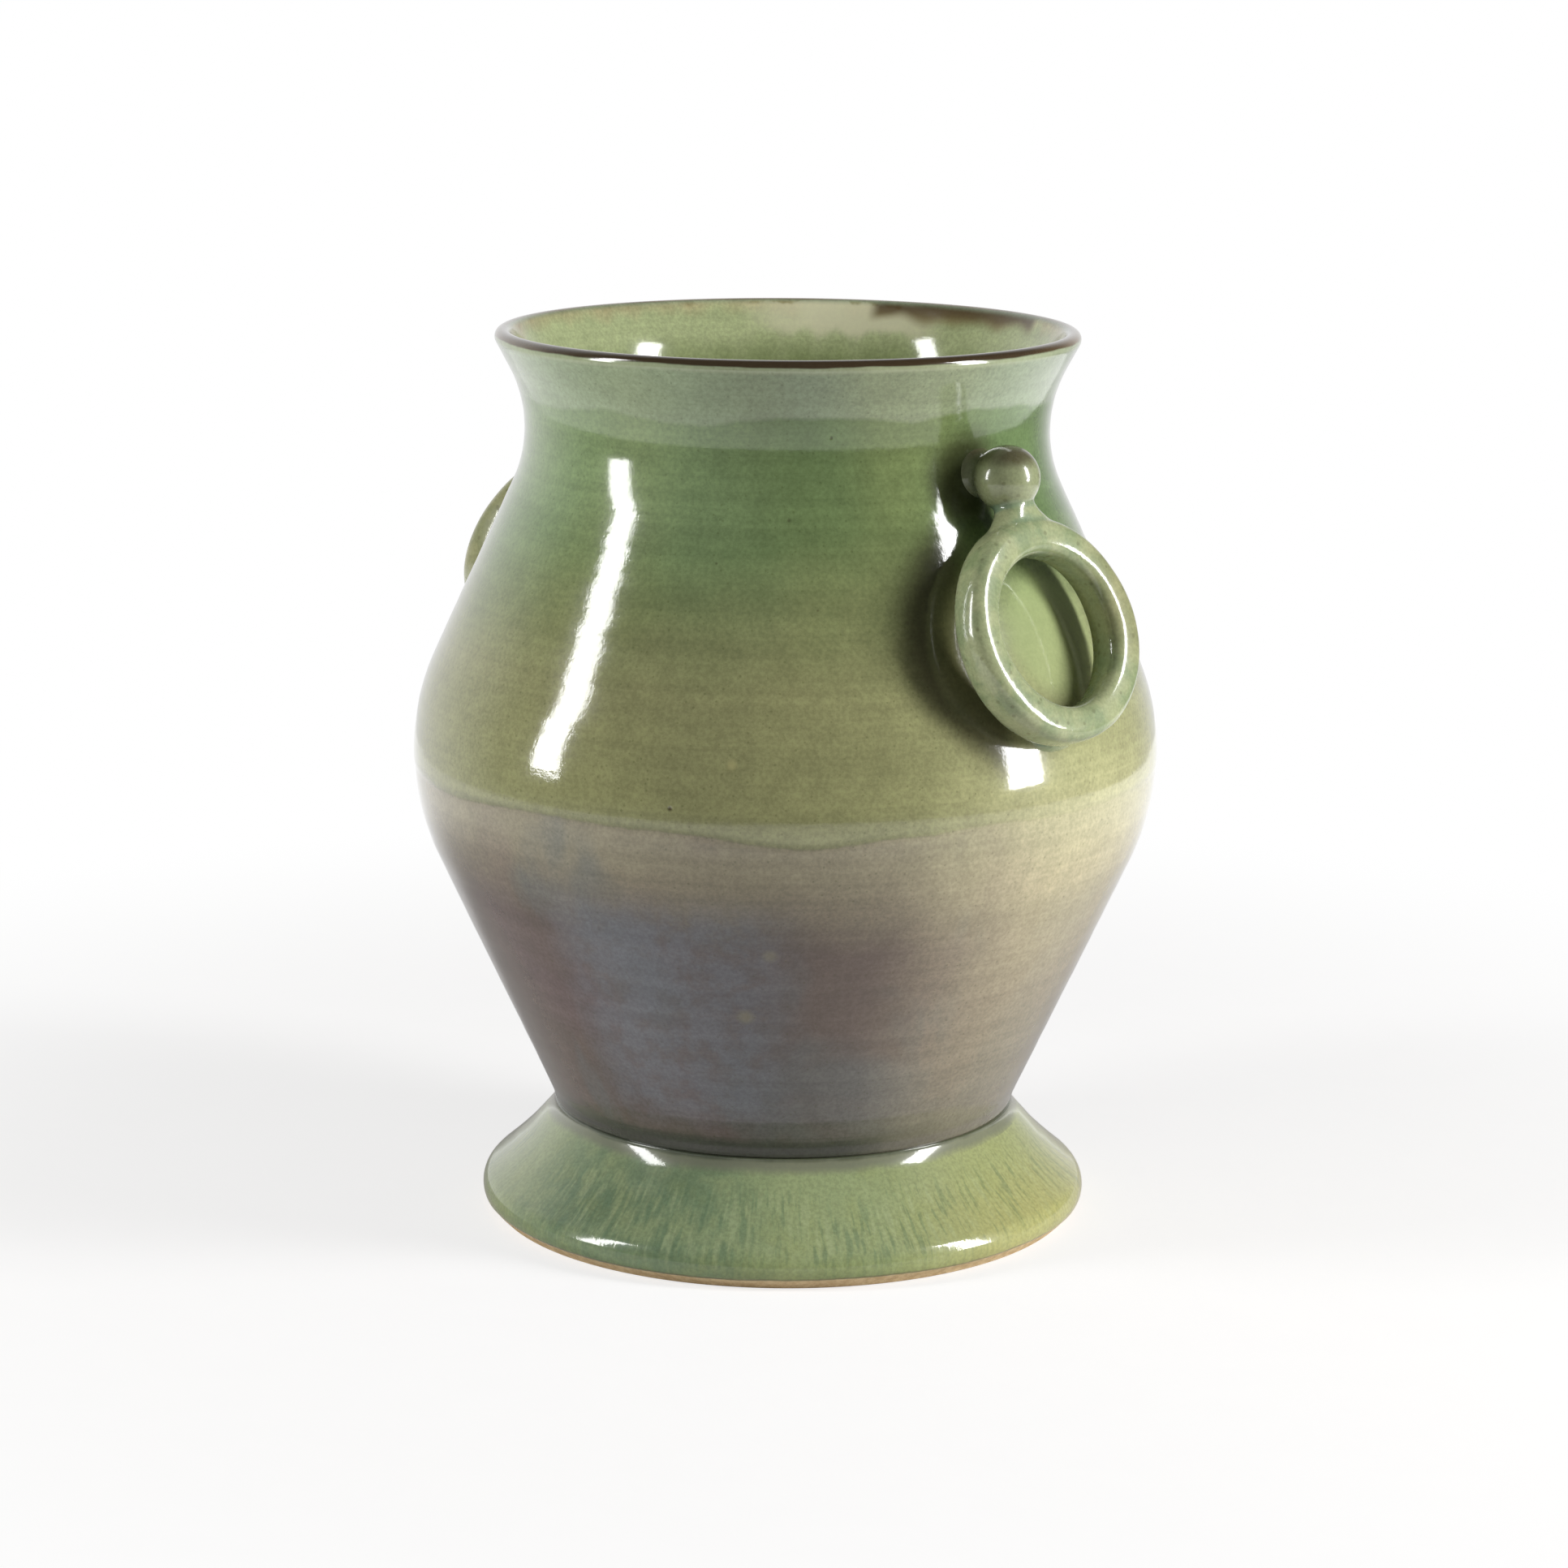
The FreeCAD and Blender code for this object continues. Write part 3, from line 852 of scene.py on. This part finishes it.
def body_glaze(tints, body, handle):
    """Green ash glaze over a thinner coat, breaking brown on the lip."""
    material, n, spot = new_finish("body_glaze_green")
    level = n.in_mm(n.separate(spot)[2])
    above = n.in_mm(own_value(n, "above_dip"))
    reach = n.in_mm(own_value(n, "reach"))
    mottle = n.noise(spot, 150.0, 4.0, 0.6)
    brush = n.noise(n.stretched(spot, 6.0, 420.0), 1.0, 3.0, 0.6)
    grain = n.noise(spot, 900.0, 3.0, 0.65)
    shade = n.times(n.rise(brush, 0.32, 0.68, 0.93, 1.05), n.rise(grain, 0.3, 0.7, 0.88, 1.12),
                    n.rise(mottle, 0.3, 0.7, 0.93, 1.07))
    coat = n.shaded(outer_coats(n, spot, level, above, mottle, tints), shade)
    coat = n.over(coat, "dark_speck", specks(n, spot, 420.0, 0.17, 7.0), 0.25)
    coat = by_handles(n, coat, spot, handle, body)
    pits, lumps = fired_marks(n, spot, body)
    coat = n.over(n.over(coat, "pinhole", pits), "pale_lump", lumps)
    coat = n.over(coat, inner_coat(n, spot, reach, shade, tints), n.fall(reach, -3.5, -1.0))

    worn = n.plus(reach, n.swing(spot, 45.0, 0.5, 3.0))
    coat = n.over(coat, "pale_rim", n.between(worn, 2.2, 3.2, 3.6, 5.4), 0.4)
    thin = n.plus(facing_way(n, spot, FRONT), n.swing(spot, 30.0, 0.25))
    edge = n.blend(n.fall(thin, -0.1, 0.7), tints.iron, "thin_lip")
    coat = n.over(coat, edge, n.between(worn, -1.8, -0.6, 2.5, 3.1), 0.95)

    relief = n.weighed((grain, 0.35), (mottle, 0.5), (pits, -3.0), (lumps, 5.0), (brush, 0.35))
    roughness = n.rise(n.noise(spot, 40.0, 3.0), 0.3, 0.7, 0.11, 0.19)
    glazed(n, coat, relief, 0.05 * MM, roughness, 1.0)
    return material


def foot_green(n, spot, tints):
    """Green of the foot with fine upright dashes, and the level, grain and pale dashes of it."""
    level = n.in_mm(n.separate(spot)[2])
    coat = n.ramp(n.plus(level, n.swing(spot, 60.0, 3.0)), 0.0, 30.0, [
        (0.0, "foot_edge"), (5.0, "foot_roll"), (10.0, tints.foot), (28.0, tints.foot)])
    mottle = n.noise(spot, 60.0, 3.0, 0.55, 0.3)
    coat = n.over(coat, "foot_blue", n.rise(facing_way(n, spot, FRONT - 34.0), 0.80, 0.98),
                  n.rise(mottle, 0.34, 0.6, 0.25, 0.8))
    # Painted light: yellower green on the side of the foot that faces the right softbox
    coat = n.over(coat, "foot_yellow", n.rise(facing_way(n, spot, FRONT + 72.0), 0.55, 0.98),
                  n.rise(level, 26.0, 10.0, 0.3, 0.7))
    coat = n.over(coat, "foot_pale", n.rise(mottle, 0.46, 0.66, 0.0, 0.3))
    around = n.vector("NORMALIZE", n.stretched(spot, 1.0, 0.0))
    upright = n.vector("ADD", n.stretched(around, 0.08, 0.0), n.stretched(spot, 0.0, 0.22))
    dashes = n.noise(upright, 640.0)
    patchy = n.rise(n.noise(spot, 34.0, 1.0), 0.36, 0.6, 0.3, 1.0)
    belt = n.times(n.rise(level, 5.0, 11.0, 0.35), n.rise(level, 20.0, 26.0, 1.0, 0.15), patchy)
    pale = n.times(n.rise(dashes, 0.52, 0.66), belt)
    coat = n.over(coat, "pale_dash", pale, 0.28)
    coat = n.over(coat, "dark_dash", n.fall(dashes, 0.36, 0.48), belt, 0.34)
    grain = n.noise(spot, 1000.0, 3.0, 0.6)
    return n.shaded(coat, n.rise(grain, 0.3, 0.7, 0.88, 1.12)), level, grain, pale


def foot_glaze(tints):
    """Green glaze with fine dashes, ending in a roll above a band of bare clay."""
    material, n, spot = new_finish("foot_glaze_dashed")
    coat, _, grain, pale = foot_green(n, spot, tints)
    ragged = n.plus(n.in_mm(own_value(n, "above_dip")), n.swing(spot, 220.0, 0.3, 3.0))
    coated = n.rise(ragged, -0.2, 0.2)
    coat = n.over(coat, "burnt_line", coated, n.fall(ragged, 0.3, 0.9), 0.6)
    clay = n.blend(n.rise(n.noise(spot, 500.0, 4.0, 0.7), 0.35, 0.65), tints.clay, "dark_clay")
    roughness = n.plus(n.times(coated, -0.6), 0.84)
    relief = n.weighed((grain, 0.4), (pale, -0.3))
    glazed(n, n.blend(coated, clay, coat), relief, 0.05 * MM, roughness, coated)
    return material


def slip_finish(tints):
    """Slip that runs from the green of the foot to a pale line under the dark pool above."""
    material, n, spot = new_finish("slip_line_pale")
    green, level, grain, _ = foot_green(n, spot, tints)
    wavy = n.plus(level, n.swing(spot, 90.0, 0.7, 3.0))
    line = n.ramp(wavy, 27.0, 32.0, [
        (27.0, tints.slip), (29.9, tints.slip), (30.9, tints.shadow_green)])
    glazed(n, n.over(green, line, n.rise(wavy, 26.4, 29.0, 0.0, 0.85)), grain, 0.02 * MM, 0.24, 1.0)
    return material


def handle_glaze(tints, size, body):
    """Pale celadon that breaks tan on edges, pools green in hollows and is scorched on the ball."""
    material, n, spot = new_finish("handle_glaze_celadon")
    x, y, height = n.separate(spot)
    level = n.in_mm(height)
    hollow = n.plus(own_value(n, "hollow"), n.swing(spot, 160.0, 0.03, 3.0))
    mottle = n.noise(spot, 120.0, 4.0, 0.6, 0.3)
    coat = n.blend(n.rise(mottle, 0.38, 0.64), tints.handle, "handle_deep")
    aside = n.times(y, n.math("SIGN", x))
    coat = n.over(coat, "handle_tan", n.rise(aside, 12 * MM, 26 * MM),
                  n.rise(level, 163.0, 176.0), 0.4)
    coat = n.over(coat, "handle_thin", n.fall(hollow, -0.34, -0.17), 0.5)
    coat = n.over(coat, tints.pool, n.rise(hollow, -0.05, 0.10), 0.6)
    ball_level = knob_centre(size, body).z / MM
    coat = n.over(coat, "handle_ball", n.rise(level, ball_level - 7.5, ball_level - 4.0), 0.8)
    smoky = n.plus(level, n.swing(spot, 180.0, 1.2, 3.0))
    coat = n.over(coat, tints.iron, n.rise(smoky, ball_level + 3.0, ball_level + 6.6), 0.72)
    grain = n.noise(spot, 1100.0, 3.0, 0.6)
    coat = n.shaded(coat, n.rise(grain, 0.3, 0.7, 0.9, 1.1))
    coat = n.over(coat, "handle_speck", specks(n, spot, 260.0, 0.2, 5.0), 0.35)
    relief = n.weighed((grain, 0.3), (mottle, 0.9))
    roughness = n.rise(mottle, 0.3, 0.7, 0.2, 0.34)
    glazed(n, coat, relief, 0.07 * MM, roughness, 1.0, HANDLE_ROUGHNESS)
    return material


# Handles: clay pieces that are fused into one mesh for each side

def handle_frame(size, body):
    """Back of the ring's lowest part, its outward normal and its upward direction, on +X."""
    belly, belly_curve = body_circles(body)[2]
    head_height = body_heights(body)[0] + size.head_rise
    head = Vector((wall_radius(body, head_height) + size.head_stand, head_height))
    nearest, _ = tangent((belly, belly_curve + size.pad_thickness), (head, 0))
    flat_up = (head - nearest).normalized()
    seat = nearest - flat_up * size.seat_drop
    up = Vector((flat_up.x, 0, flat_up.y))
    return Vector((seat.x, 0, seat.y)), SIDEWAYS.cross(up), up


def ring_top(size, body):
    seat, normal, up = handle_frame(size, body)
    return seat + normal * (size.ring_width / 2) + up * (size.ring_radius * 2)


def ring_centre(size, body):
    return ring_top(size, body) - handle_frame(size, body)[2] * size.ring_radius


def knob_centre(size, body):
    height = ring_top(size, body).z + size.ring_depth / 2 + size.link_length + size.knob_radius
    radius = wall_radius(body, height) + size.knob_pad_thickness + size.knob_radius
    return Vector((radius, 0, height))


def smoothstep(share):
    share = min(max(share, 0.0), 1.0)
    return share * share * (3 - 2 * share)


def loft(shape, sections, closed=False):
    """Skins sections that have the same number of points, and caps the ends of an open row."""
    rows = [[shape.verts.new(point) for point in section] for section in sections]
    followers = rows[1:] + rows[:1] if closed else rows[1:]
    for row, following in zip(rows, followers):
        for i in range(len(row)):
            j = (i + 1) % len(row)
            shape.faces.new((row[i], row[j], following[j], following[i]))
    if not closed:
        shape.faces.new(list(reversed(rows[0])))
        shape.faces.new(rows[-1])


def soft_section(centre, across, half_width, along, half_reach, power):
    """Rounded outline about a centre; a higher power has fuller corners."""
    points = []
    for i in range(SECTION_STEPS):
        turn = FULL_TURN * i / SECTION_STEPS
        shares = (math.cos(turn), math.sin(turn))
        a, b = (math.copysign(abs(share) ** (2 / power), share) for share in shares)
        points.append(centre + across * (a * half_width) + along * (b * half_reach))
    return points


def ring_sections(size, body):
    """Sections of the ring, pinched a little thinner in three places."""
    _, normal, up = handle_frame(size, body)
    centre = ring_centre(size, body)
    sections = []
    for i in range(RING_STEPS):
        turn = FULL_TURN * i / RING_STEPS
        out = up * math.cos(turn) + SIDEWAYS * math.sin(turn)
        pinch = 1 - PINCH_DEPTH + PINCH_DEPTH * math.cos(turn * PINCHES + PINCH_TURN)
        width, depth = size.ring_width / 2 * pinch, size.ring_depth / 2 * pinch
        middle = centre + out * size.ring_radius
        sections.append(soft_section(middle, normal, width, out, depth, RING_POWER))
    return sections


def link_sections(size, body):
    """Sections of the link, from a round in the ball to a long foot over the ring."""
    start, end = knob_centre(size, body), ring_top(size, body)
    axis = (end - start).normalized()
    across = SIDEWAYS.cross(axis)
    gap = (end - start).length
    inside_ball = size.knob_radius * LINK_START
    sections = []
    for i in range(LINK_STEPS + 1):
        run = gap * i / LINK_STEPS
        share = max(0.0, (run - inside_ball) / (gap - inside_ball)) ** LINK_LATENESS
        reach = size.link_reach + (size.link_foot_reach - size.link_reach) * share
        width = size.link_width + (size.link_foot_width - size.link_width) * share
        middle = start + axis * run
        sections.append(soft_section(middle, across, width, SIDEWAYS, reach, LINK_POWER))
    return sections


def pad_sections(start, end, across, widths, along, reaches):
    """Sections of a pad of slip, wide at the wall and narrower at the clay that it holds."""
    sections = []
    for i in range(PAD_STEPS + 1):
        run = i / PAD_STEPS
        share = 1 - (1 - run) ** 2
        width, reach = (wide + (narrow - wide) * share for wide, narrow in (widths, reaches))
        middle = start.lerp(end, run)
        sections.append(soft_section(middle, across, width, along, reach, PAD_POWER))
    return sections


def vertex_values(mesh, name):
    values = np.empty(len(mesh.vertices) * 3, dtype=np.float32)
    mesh.vertices.foreach_get(name, values)
    return values.reshape(-1, 3)


def hollow_values(mesh, rounds=30):
    """How hollow (above 0) or how sharp (below 0) the surface is at each point, per millimetre."""
    total = len(mesh.vertices)
    places, normals = vertex_values(mesh, "co"), vertex_values(mesh, "normal")
    edges = np.empty(len(mesh.edges) * 2, dtype=np.int64)
    mesh.edges.foreach_get("vertices", edges)
    first, second = edges.reshape(-1, 2).T
    near = np.bincount(first, minlength=total) + np.bincount(second, minlength=total)

    def around(values):
        sums = np.bincount(first, values[second], total) + np.bincount(second, values[first], total)
        return sums / np.maximum(near, 1)

    gap = np.stack([around(places[:, axis]) for axis in range(3)], axis=1) - places
    spacing = np.mean(np.linalg.norm(places[first] - places[second], axis=1))
    values = np.einsum("ij,ij->i", gap, normals) * 4 / spacing ** 2 * MM / 2
    for _ in range(rounds):
        values = (values + around(values)) / 2
    return values.astype(np.float32)


def roughen(mesh, depth, seed):
    """Presses the surface inwards by up to the depth, in soft waves."""
    places, normals = vertex_values(mesh, "co"), vertex_values(mesh, "normal")
    shift = Vector((seed, seed, seed))
    waves = [sum(share * noise.noise(Vector(place) * scale + shift) for scale, share in CLAY_WAVES)
             for place in places]
    places += normals * (depth * 0.5 * (np.array(waves, dtype=np.float32) - CLAY_WAVE_TOP))[:, None]
    mesh.vertices.foreach_set("co", places.ravel())


def handle_piece(name, size, body, side, seed, material):
    """Ball, link, ring and pads of one side, fused as soft clay under glaze."""
    seat, normal, up = handle_frame(size, body)
    ball = knob_centre(size, body)
    inwards = Vector((-1, 0, 0))
    wall = ball + inwards * (size.knob_radius + size.knob_pad_thickness + size.pad_sink)
    collar = [size.knob_pad_radius * share for share in COLLAR_SHARES]
    shape = bmesh.new()
    loft(shape, ring_sections(size, body), closed=True)
    loft(shape, link_sections(size, body))
    around, upright = BALL_STEPS
    bmesh.ops.create_uvsphere(shape, u_segments=around, v_segments=upright,
                              radius=size.knob_radius, matrix=Matrix.Translation(ball))
    loft(shape, pad_sections(wall, ball + inwards * (size.knob_radius / 2), SIDEWAYS, collar,
                             UPWARDS, collar))
    loft(shape, pad_sections(
        seat - normal * size.pad_sink, seat + normal * (size.ring_width / 3),
        up, [size.ring_pad_rise * share for share in PAD_RISE_SHARES],
        SIDEWAYS, [size.ring_pad_reach * share for share in PAD_REACH_SHARES]))
    bmesh.ops.recalc_face_normals(shape, faces=shape.faces)
    mesh = bpy.data.meshes.new(name)
    shape.to_mesh(mesh)
    shape.free()
    piece = new_piece(name, mesh)
    fuse = piece.modifiers.new("fuse", "REMESH")
    fuse.mode, fuse.voxel_size, fuse.use_smooth_shade = "VOXEL", size.voxel, True
    soften = piece.modifiers.new("soften", "SMOOTH")
    soften.factor, soften.iterations = SOFTENING
    fused = baked(piece)
    roughen(fused, size.unevenness, seed)
    fused.transform(Matrix.Rotation(side, 4, "Z"))
    fused.update()
    fused.attributes.new("hollow", "FLOAT", "POINT").data.foreach_set("value", hollow_values(fused))
    fused.materials.clear()
    fused.materials.append(material)
    fused.shade_smooth()
    return piece


# Operators, one for each piece or group of pieces and one for the stage

class THROW_OT_body(bpy.types.Operator):
    """Turns the hollow body with its throwing rings and the edge of its second glaze coat"""
    bl_idname = "ringvase.throw_body"
    bl_label = "Throw Body"

    def execute(self, context):
        size = context.scene.vase_body
        points = body_profile(size)
        crest = max(range(len(points)), key=lambda i: points[i].y)
        top, base = points[crest].y, points[0].y + 0.8 * MM
        fade, axis_fade = 4 * MM, 20 * MM
        reliefs = [smoothstep((top - p.y) / fade) * smoothstep((p.y - base) / fade)
                   * smoothstep(p.x / axis_fade - 0.1) for p in points]
        piece = turned_piece("thrown_body", points, reliefs, crest, {
            "Columns": size.columns, "Throwing Depth": size.throwing_depth,
            "Throwing Pitch": size.throwing_pitch, "Unevenness": size.unevenness,
            "Dip Height": size.dip_height, "Dip Wave": size.dip_wave, "Dip Sag": size.dip_sag,
            "Glaze Step": size.glaze_step, "Seed": BODY_SEED,
            "Glaze": body_glaze(context.scene.vase_glaze, size, context.scene.vase_handle)})
        settle(piece, "body_glaze", "vase_body")
        return {"FINISHED"}


class THROW_OT_foot(bpy.types.Operator):
    """Turns the flared foot with its rolled edge and the bare clay that it rests on"""
    bl_idname = "ringvase.throw_foot"
    bl_label = "Throw Foot"

    def execute(self, context):
        foot, body = context.scene.vase_foot, context.scene.vase_body
        points = foot_profile(foot, body)
        under_slip = max(p.y for p in points) - 5.5 * MM
        rest_fade, slip_fade = 0.8 * MM, 5 * MM
        reliefs = [smoothstep(p.y / rest_fade) * smoothstep((under_slip - p.y) / slip_fade)
                   for p in points]
        piece = turned_piece("thrown_foot", points, reliefs, len(points) - 1, {
            "Columns": foot.columns, "Throwing Depth": body.throwing_depth * FOOT_THROWING,
            "Throwing Pitch": body.throwing_pitch, "Unevenness": body.unevenness * FOOT_UNEVENNESS,
            "Dip Height": foot.bare_height, "Dip Wave": foot.bare_height * BARE_WAVE_SHARE,
            "Glaze Step": foot.bare_step, "Seed": FOOT_SEED,
            "Glaze": foot_glaze(context.scene.vase_glaze)})
        settle(piece, "foot_glaze", "foot_ring")
        return {"FINISHED"}


class LUTE_OT_foot(bpy.types.Operator):
    """Wipes the slip into the groove between foot and body"""
    bl_idname = "ringvase.lute_foot"
    bl_label = "Lute Foot"

    def execute(self, context):
        foot, body = context.scene.vase_foot, context.scene.vase_body
        points = cove_profile(foot, body)
        reliefs = [math.sin(math.pi * index / COVE_STEPS) if index < COVE_STEPS else 0.0
                   for index in range(len(points))]
        piece = turned_piece("slip_bead", points, reliefs, 0, {
            "Columns": foot.columns, "Unevenness": body.unevenness * SLIP_UNEVENNESS,
            "Seed": SLIP_SEED,
            "Glaze": slip_finish(context.scene.vase_glaze)})
        settle(piece, "foot_glaze", "foot_slip_joint")
        return {"FINISHED"}


class MAKE_OT_handles(bpy.types.Operator):
    """Fuses ball, link, ring and luting pads on both sides"""
    bl_idname = "ringvase.make_handles"
    bl_label = "Make Handles"

    def execute(self, context):
        size, body = context.scene.vase_handle, context.scene.vase_body
        material = handle_glaze(context.scene.vase_glaze, size, body)
        for name, (side, seed) in HANDLES.items():
            piece = handle_piece(name + "_handle", size, body, side, seed, material)
            nodes = [f"{name}_{part}" for part in HANDLE_PARTS]
            settle(piece, "handle_glaze", *nodes)
        return {"FINISHED"}


def white_to_lens(n):
    """1 for rays that see the background straight, in a gloss or through glass, and 0 for light."""
    path = n.add("ShaderNodeLightPath").outputs
    seen = n.math("MAXIMUM", path["Is Camera Ray"], path["Is Glossy Ray"])
    return n.math("MAXIMUM", seen, path["Is Transmission Ray"])


def floor_finish(tint):
    """Pale floor that keeps the soft shadow of the vase and runs out into white."""
    material, n, spot = new_finish("studio_floor")
    straight = n.add("ShaderNodeLightPath").outputs["Is Camera Ray"]
    fibre = n.rise(n.noise(spot, 60.0), 0.3, 0.7, 0.985, 1.0)
    fibre = n.times(fibre, n.minus(1.0, n.times(straight, FLOOR_DIMMING)))
    paper = n.out("ShaderNodeBsdfDiffuse", {"Color": n.shaded(tint, fibre)})
    lift = n.out("ShaderNodeEmission", {"Strength": n.times(straight, FLOOR_LIFT)})
    lit = n.out("ShaderNodeAddShader", {0: paper, 1: lift})
    white = n.out("ShaderNodeEmission", {"Strength": 1.0})
    share = n.times(white_to_lens(n), n.rise(n.vector("LENGTH", spot), *FLOOR_WHITENS))
    mixed = n.out("ShaderNodeMixShader", {0: share, 1: lit, 2: white})
    n.add("ShaderNodeOutputMaterial", {"Surface": mixed})
    return material


def studio_world(stage):
    """Even light all round, white to the camera and leaning towards a backdrop in the glaze."""
    world = bpy.data.worlds.new("studio")
    world.use_nodes = True
    n = Nodes(world.node_tree)
    ambient = n.out("ShaderNodeBackground", {
        "Color": opaque(AMBIENT_TINT), "Strength": stage.ambient})
    azimuth = stage.camera_azimuth + stage.backdrop_turn
    toward_backdrop = (-math.sin(azimuth), math.cos(azimuth), 0.0)
    ray = n.add("ShaderNodeTexCoord").outputs["Generated"]
    glow = n.rise(n.vector("DOT_PRODUCT", ray, toward_backdrop), *BACKDROP_GLOW)
    camera_ray = n.add("ShaderNodeLightPath").outputs["Is Camera Ray"]
    backdrop = n.out("ShaderNodeBackground", {
        "Color": opaque((1.0, 1.0, 1.0)), "Strength": n.math("MAXIMUM", camera_ray, glow)})
    mixed = n.out("ShaderNodeMixShader", {0: white_to_lens(n), 1: ambient, 2: backdrop})
    n.add("ShaderNodeOutputWorld", {"Surface": mixed})
    return world


def softbox(name, azimuth, distance, width, low, high, radiance):
    """Softbox that faces the axis of the vase; the azimuth runs from +X towards +Y."""
    tall = high - low
    light = bpy.data.lights.new(name, "AREA")
    light.shape, light.size, light.size_y = "RECTANGLE", width, tall
    light.energy = radiance * math.pi * width * tall
    place = Vector((distance * math.cos(azimuth), distance * math.sin(azimuth), (low + high) / 2))
    turn = Euler((math.pi / 2, 0, azimuth + math.pi / 2)).to_matrix().to_4x4()
    new_piece(name, light).matrix_world = Matrix.Translation(place) @ turn


def photo_camera(stage):
    """Camera that stands and looks as the one of the photograph."""
    data = bpy.data.cameras.new("photo_camera")
    data.sensor_width = 36.0
    data.lens = stage.focal_length
    camera = new_piece("photo_camera", data)
    turn = stage.camera_azimuth
    away = Vector((math.sin(turn), -math.cos(turn), 0))
    right = Vector((math.cos(turn), math.sin(turn), 0))
    place = away * stage.camera_distance - right * stage.camera_aside
    place.z = stage.camera_height
    tilt = Euler((math.pi / 2 - stage.camera_pitch, 0, turn)).to_matrix().to_4x4()
    roll = Matrix.Rotation(stage.camera_roll, 4, "Z")
    camera.matrix_world = Matrix.Translation(place) @ tilt @ roll
    return camera


class SET_OT_stage(bpy.types.Operator):
    """Sets the floor, the white surroundings, the softboxes and the camera of the photograph"""
    bl_idname = "ringvase.set_stage"
    bl_label = "Set Stage"

    def execute(self, context):
        scene = context.scene
        stage = scene.vase_stage
        shape = bmesh.new()
        bmesh.ops.create_circle(shape, cap_ends=True, segments=128, radius=FLOOR_RADIUS)
        mesh = bpy.data.meshes.new("studio_floor")
        shape.to_mesh(mesh)
        shape.free()
        mesh.materials.append(floor_finish(scene.vase_glaze.floor))
        floor = new_piece("studio_floor", mesh)
        scene.world = studio_world(stage)
        camera_way = stage.camera_azimuth - math.pi / 2
        for side, (degrees, *box) in SOFTBOXES.items():
            softbox(side + "_softbox", camera_way + math.radians(degrees), *box,
                    getattr(stage, side + "_radiance"))
        scene.camera = photo_camera(stage)
        scene.view_settings.view_transform = "Standard"
        return {"FINISHED"}


OPERATORS = (THROW_OT_body, THROW_OT_foot, LUTE_OT_foot, MAKE_OT_handles, SET_OT_stage)


class VASE_PT_panel(bpy.types.Panel):
    """Sizes, colours and steps of the vase"""
    bl_label = "Stoneware Vase"
    bl_idname = "VASE_PT_panel"
    bl_space_type = "VIEW_3D"
    bl_region_type = "UI"
    bl_category = "Vase"

    def draw(self, context):
        for key, group in SETTINGS.items():
            box = self.layout.box()
            box.label(text=key.replace("_", " ").title())
            settings = getattr(context.scene, key)
            for name in group.__annotations__:
                box.prop(settings, name)
        for operator in OPERATORS:
            self.layout.operator(operator.bl_idname)


CLASSES = (*SETTINGS.values(), *OPERATORS, VASE_PT_panel)


def register():
    for group in CLASSES:
        bpy.utils.register_class(group)
    for key, group in SETTINGS.items():
        setattr(bpy.types.Scene, key, PointerProperty(type=group))


def unregister():
    for key in SETTINGS:
        delattr(bpy.types.Scene, key)
    for group in reversed(CLASSES):
        bpy.utils.unregister_class(group)


def main():
    register()
    bpy.ops.ringvase.throw_body()
    bpy.ops.ringvase.throw_foot()
    bpy.ops.ringvase.lute_foot()
    bpy.ops.ringvase.make_handles()
    bpy.ops.ringvase.set_stage()


if __name__ == "__main__":
    main()
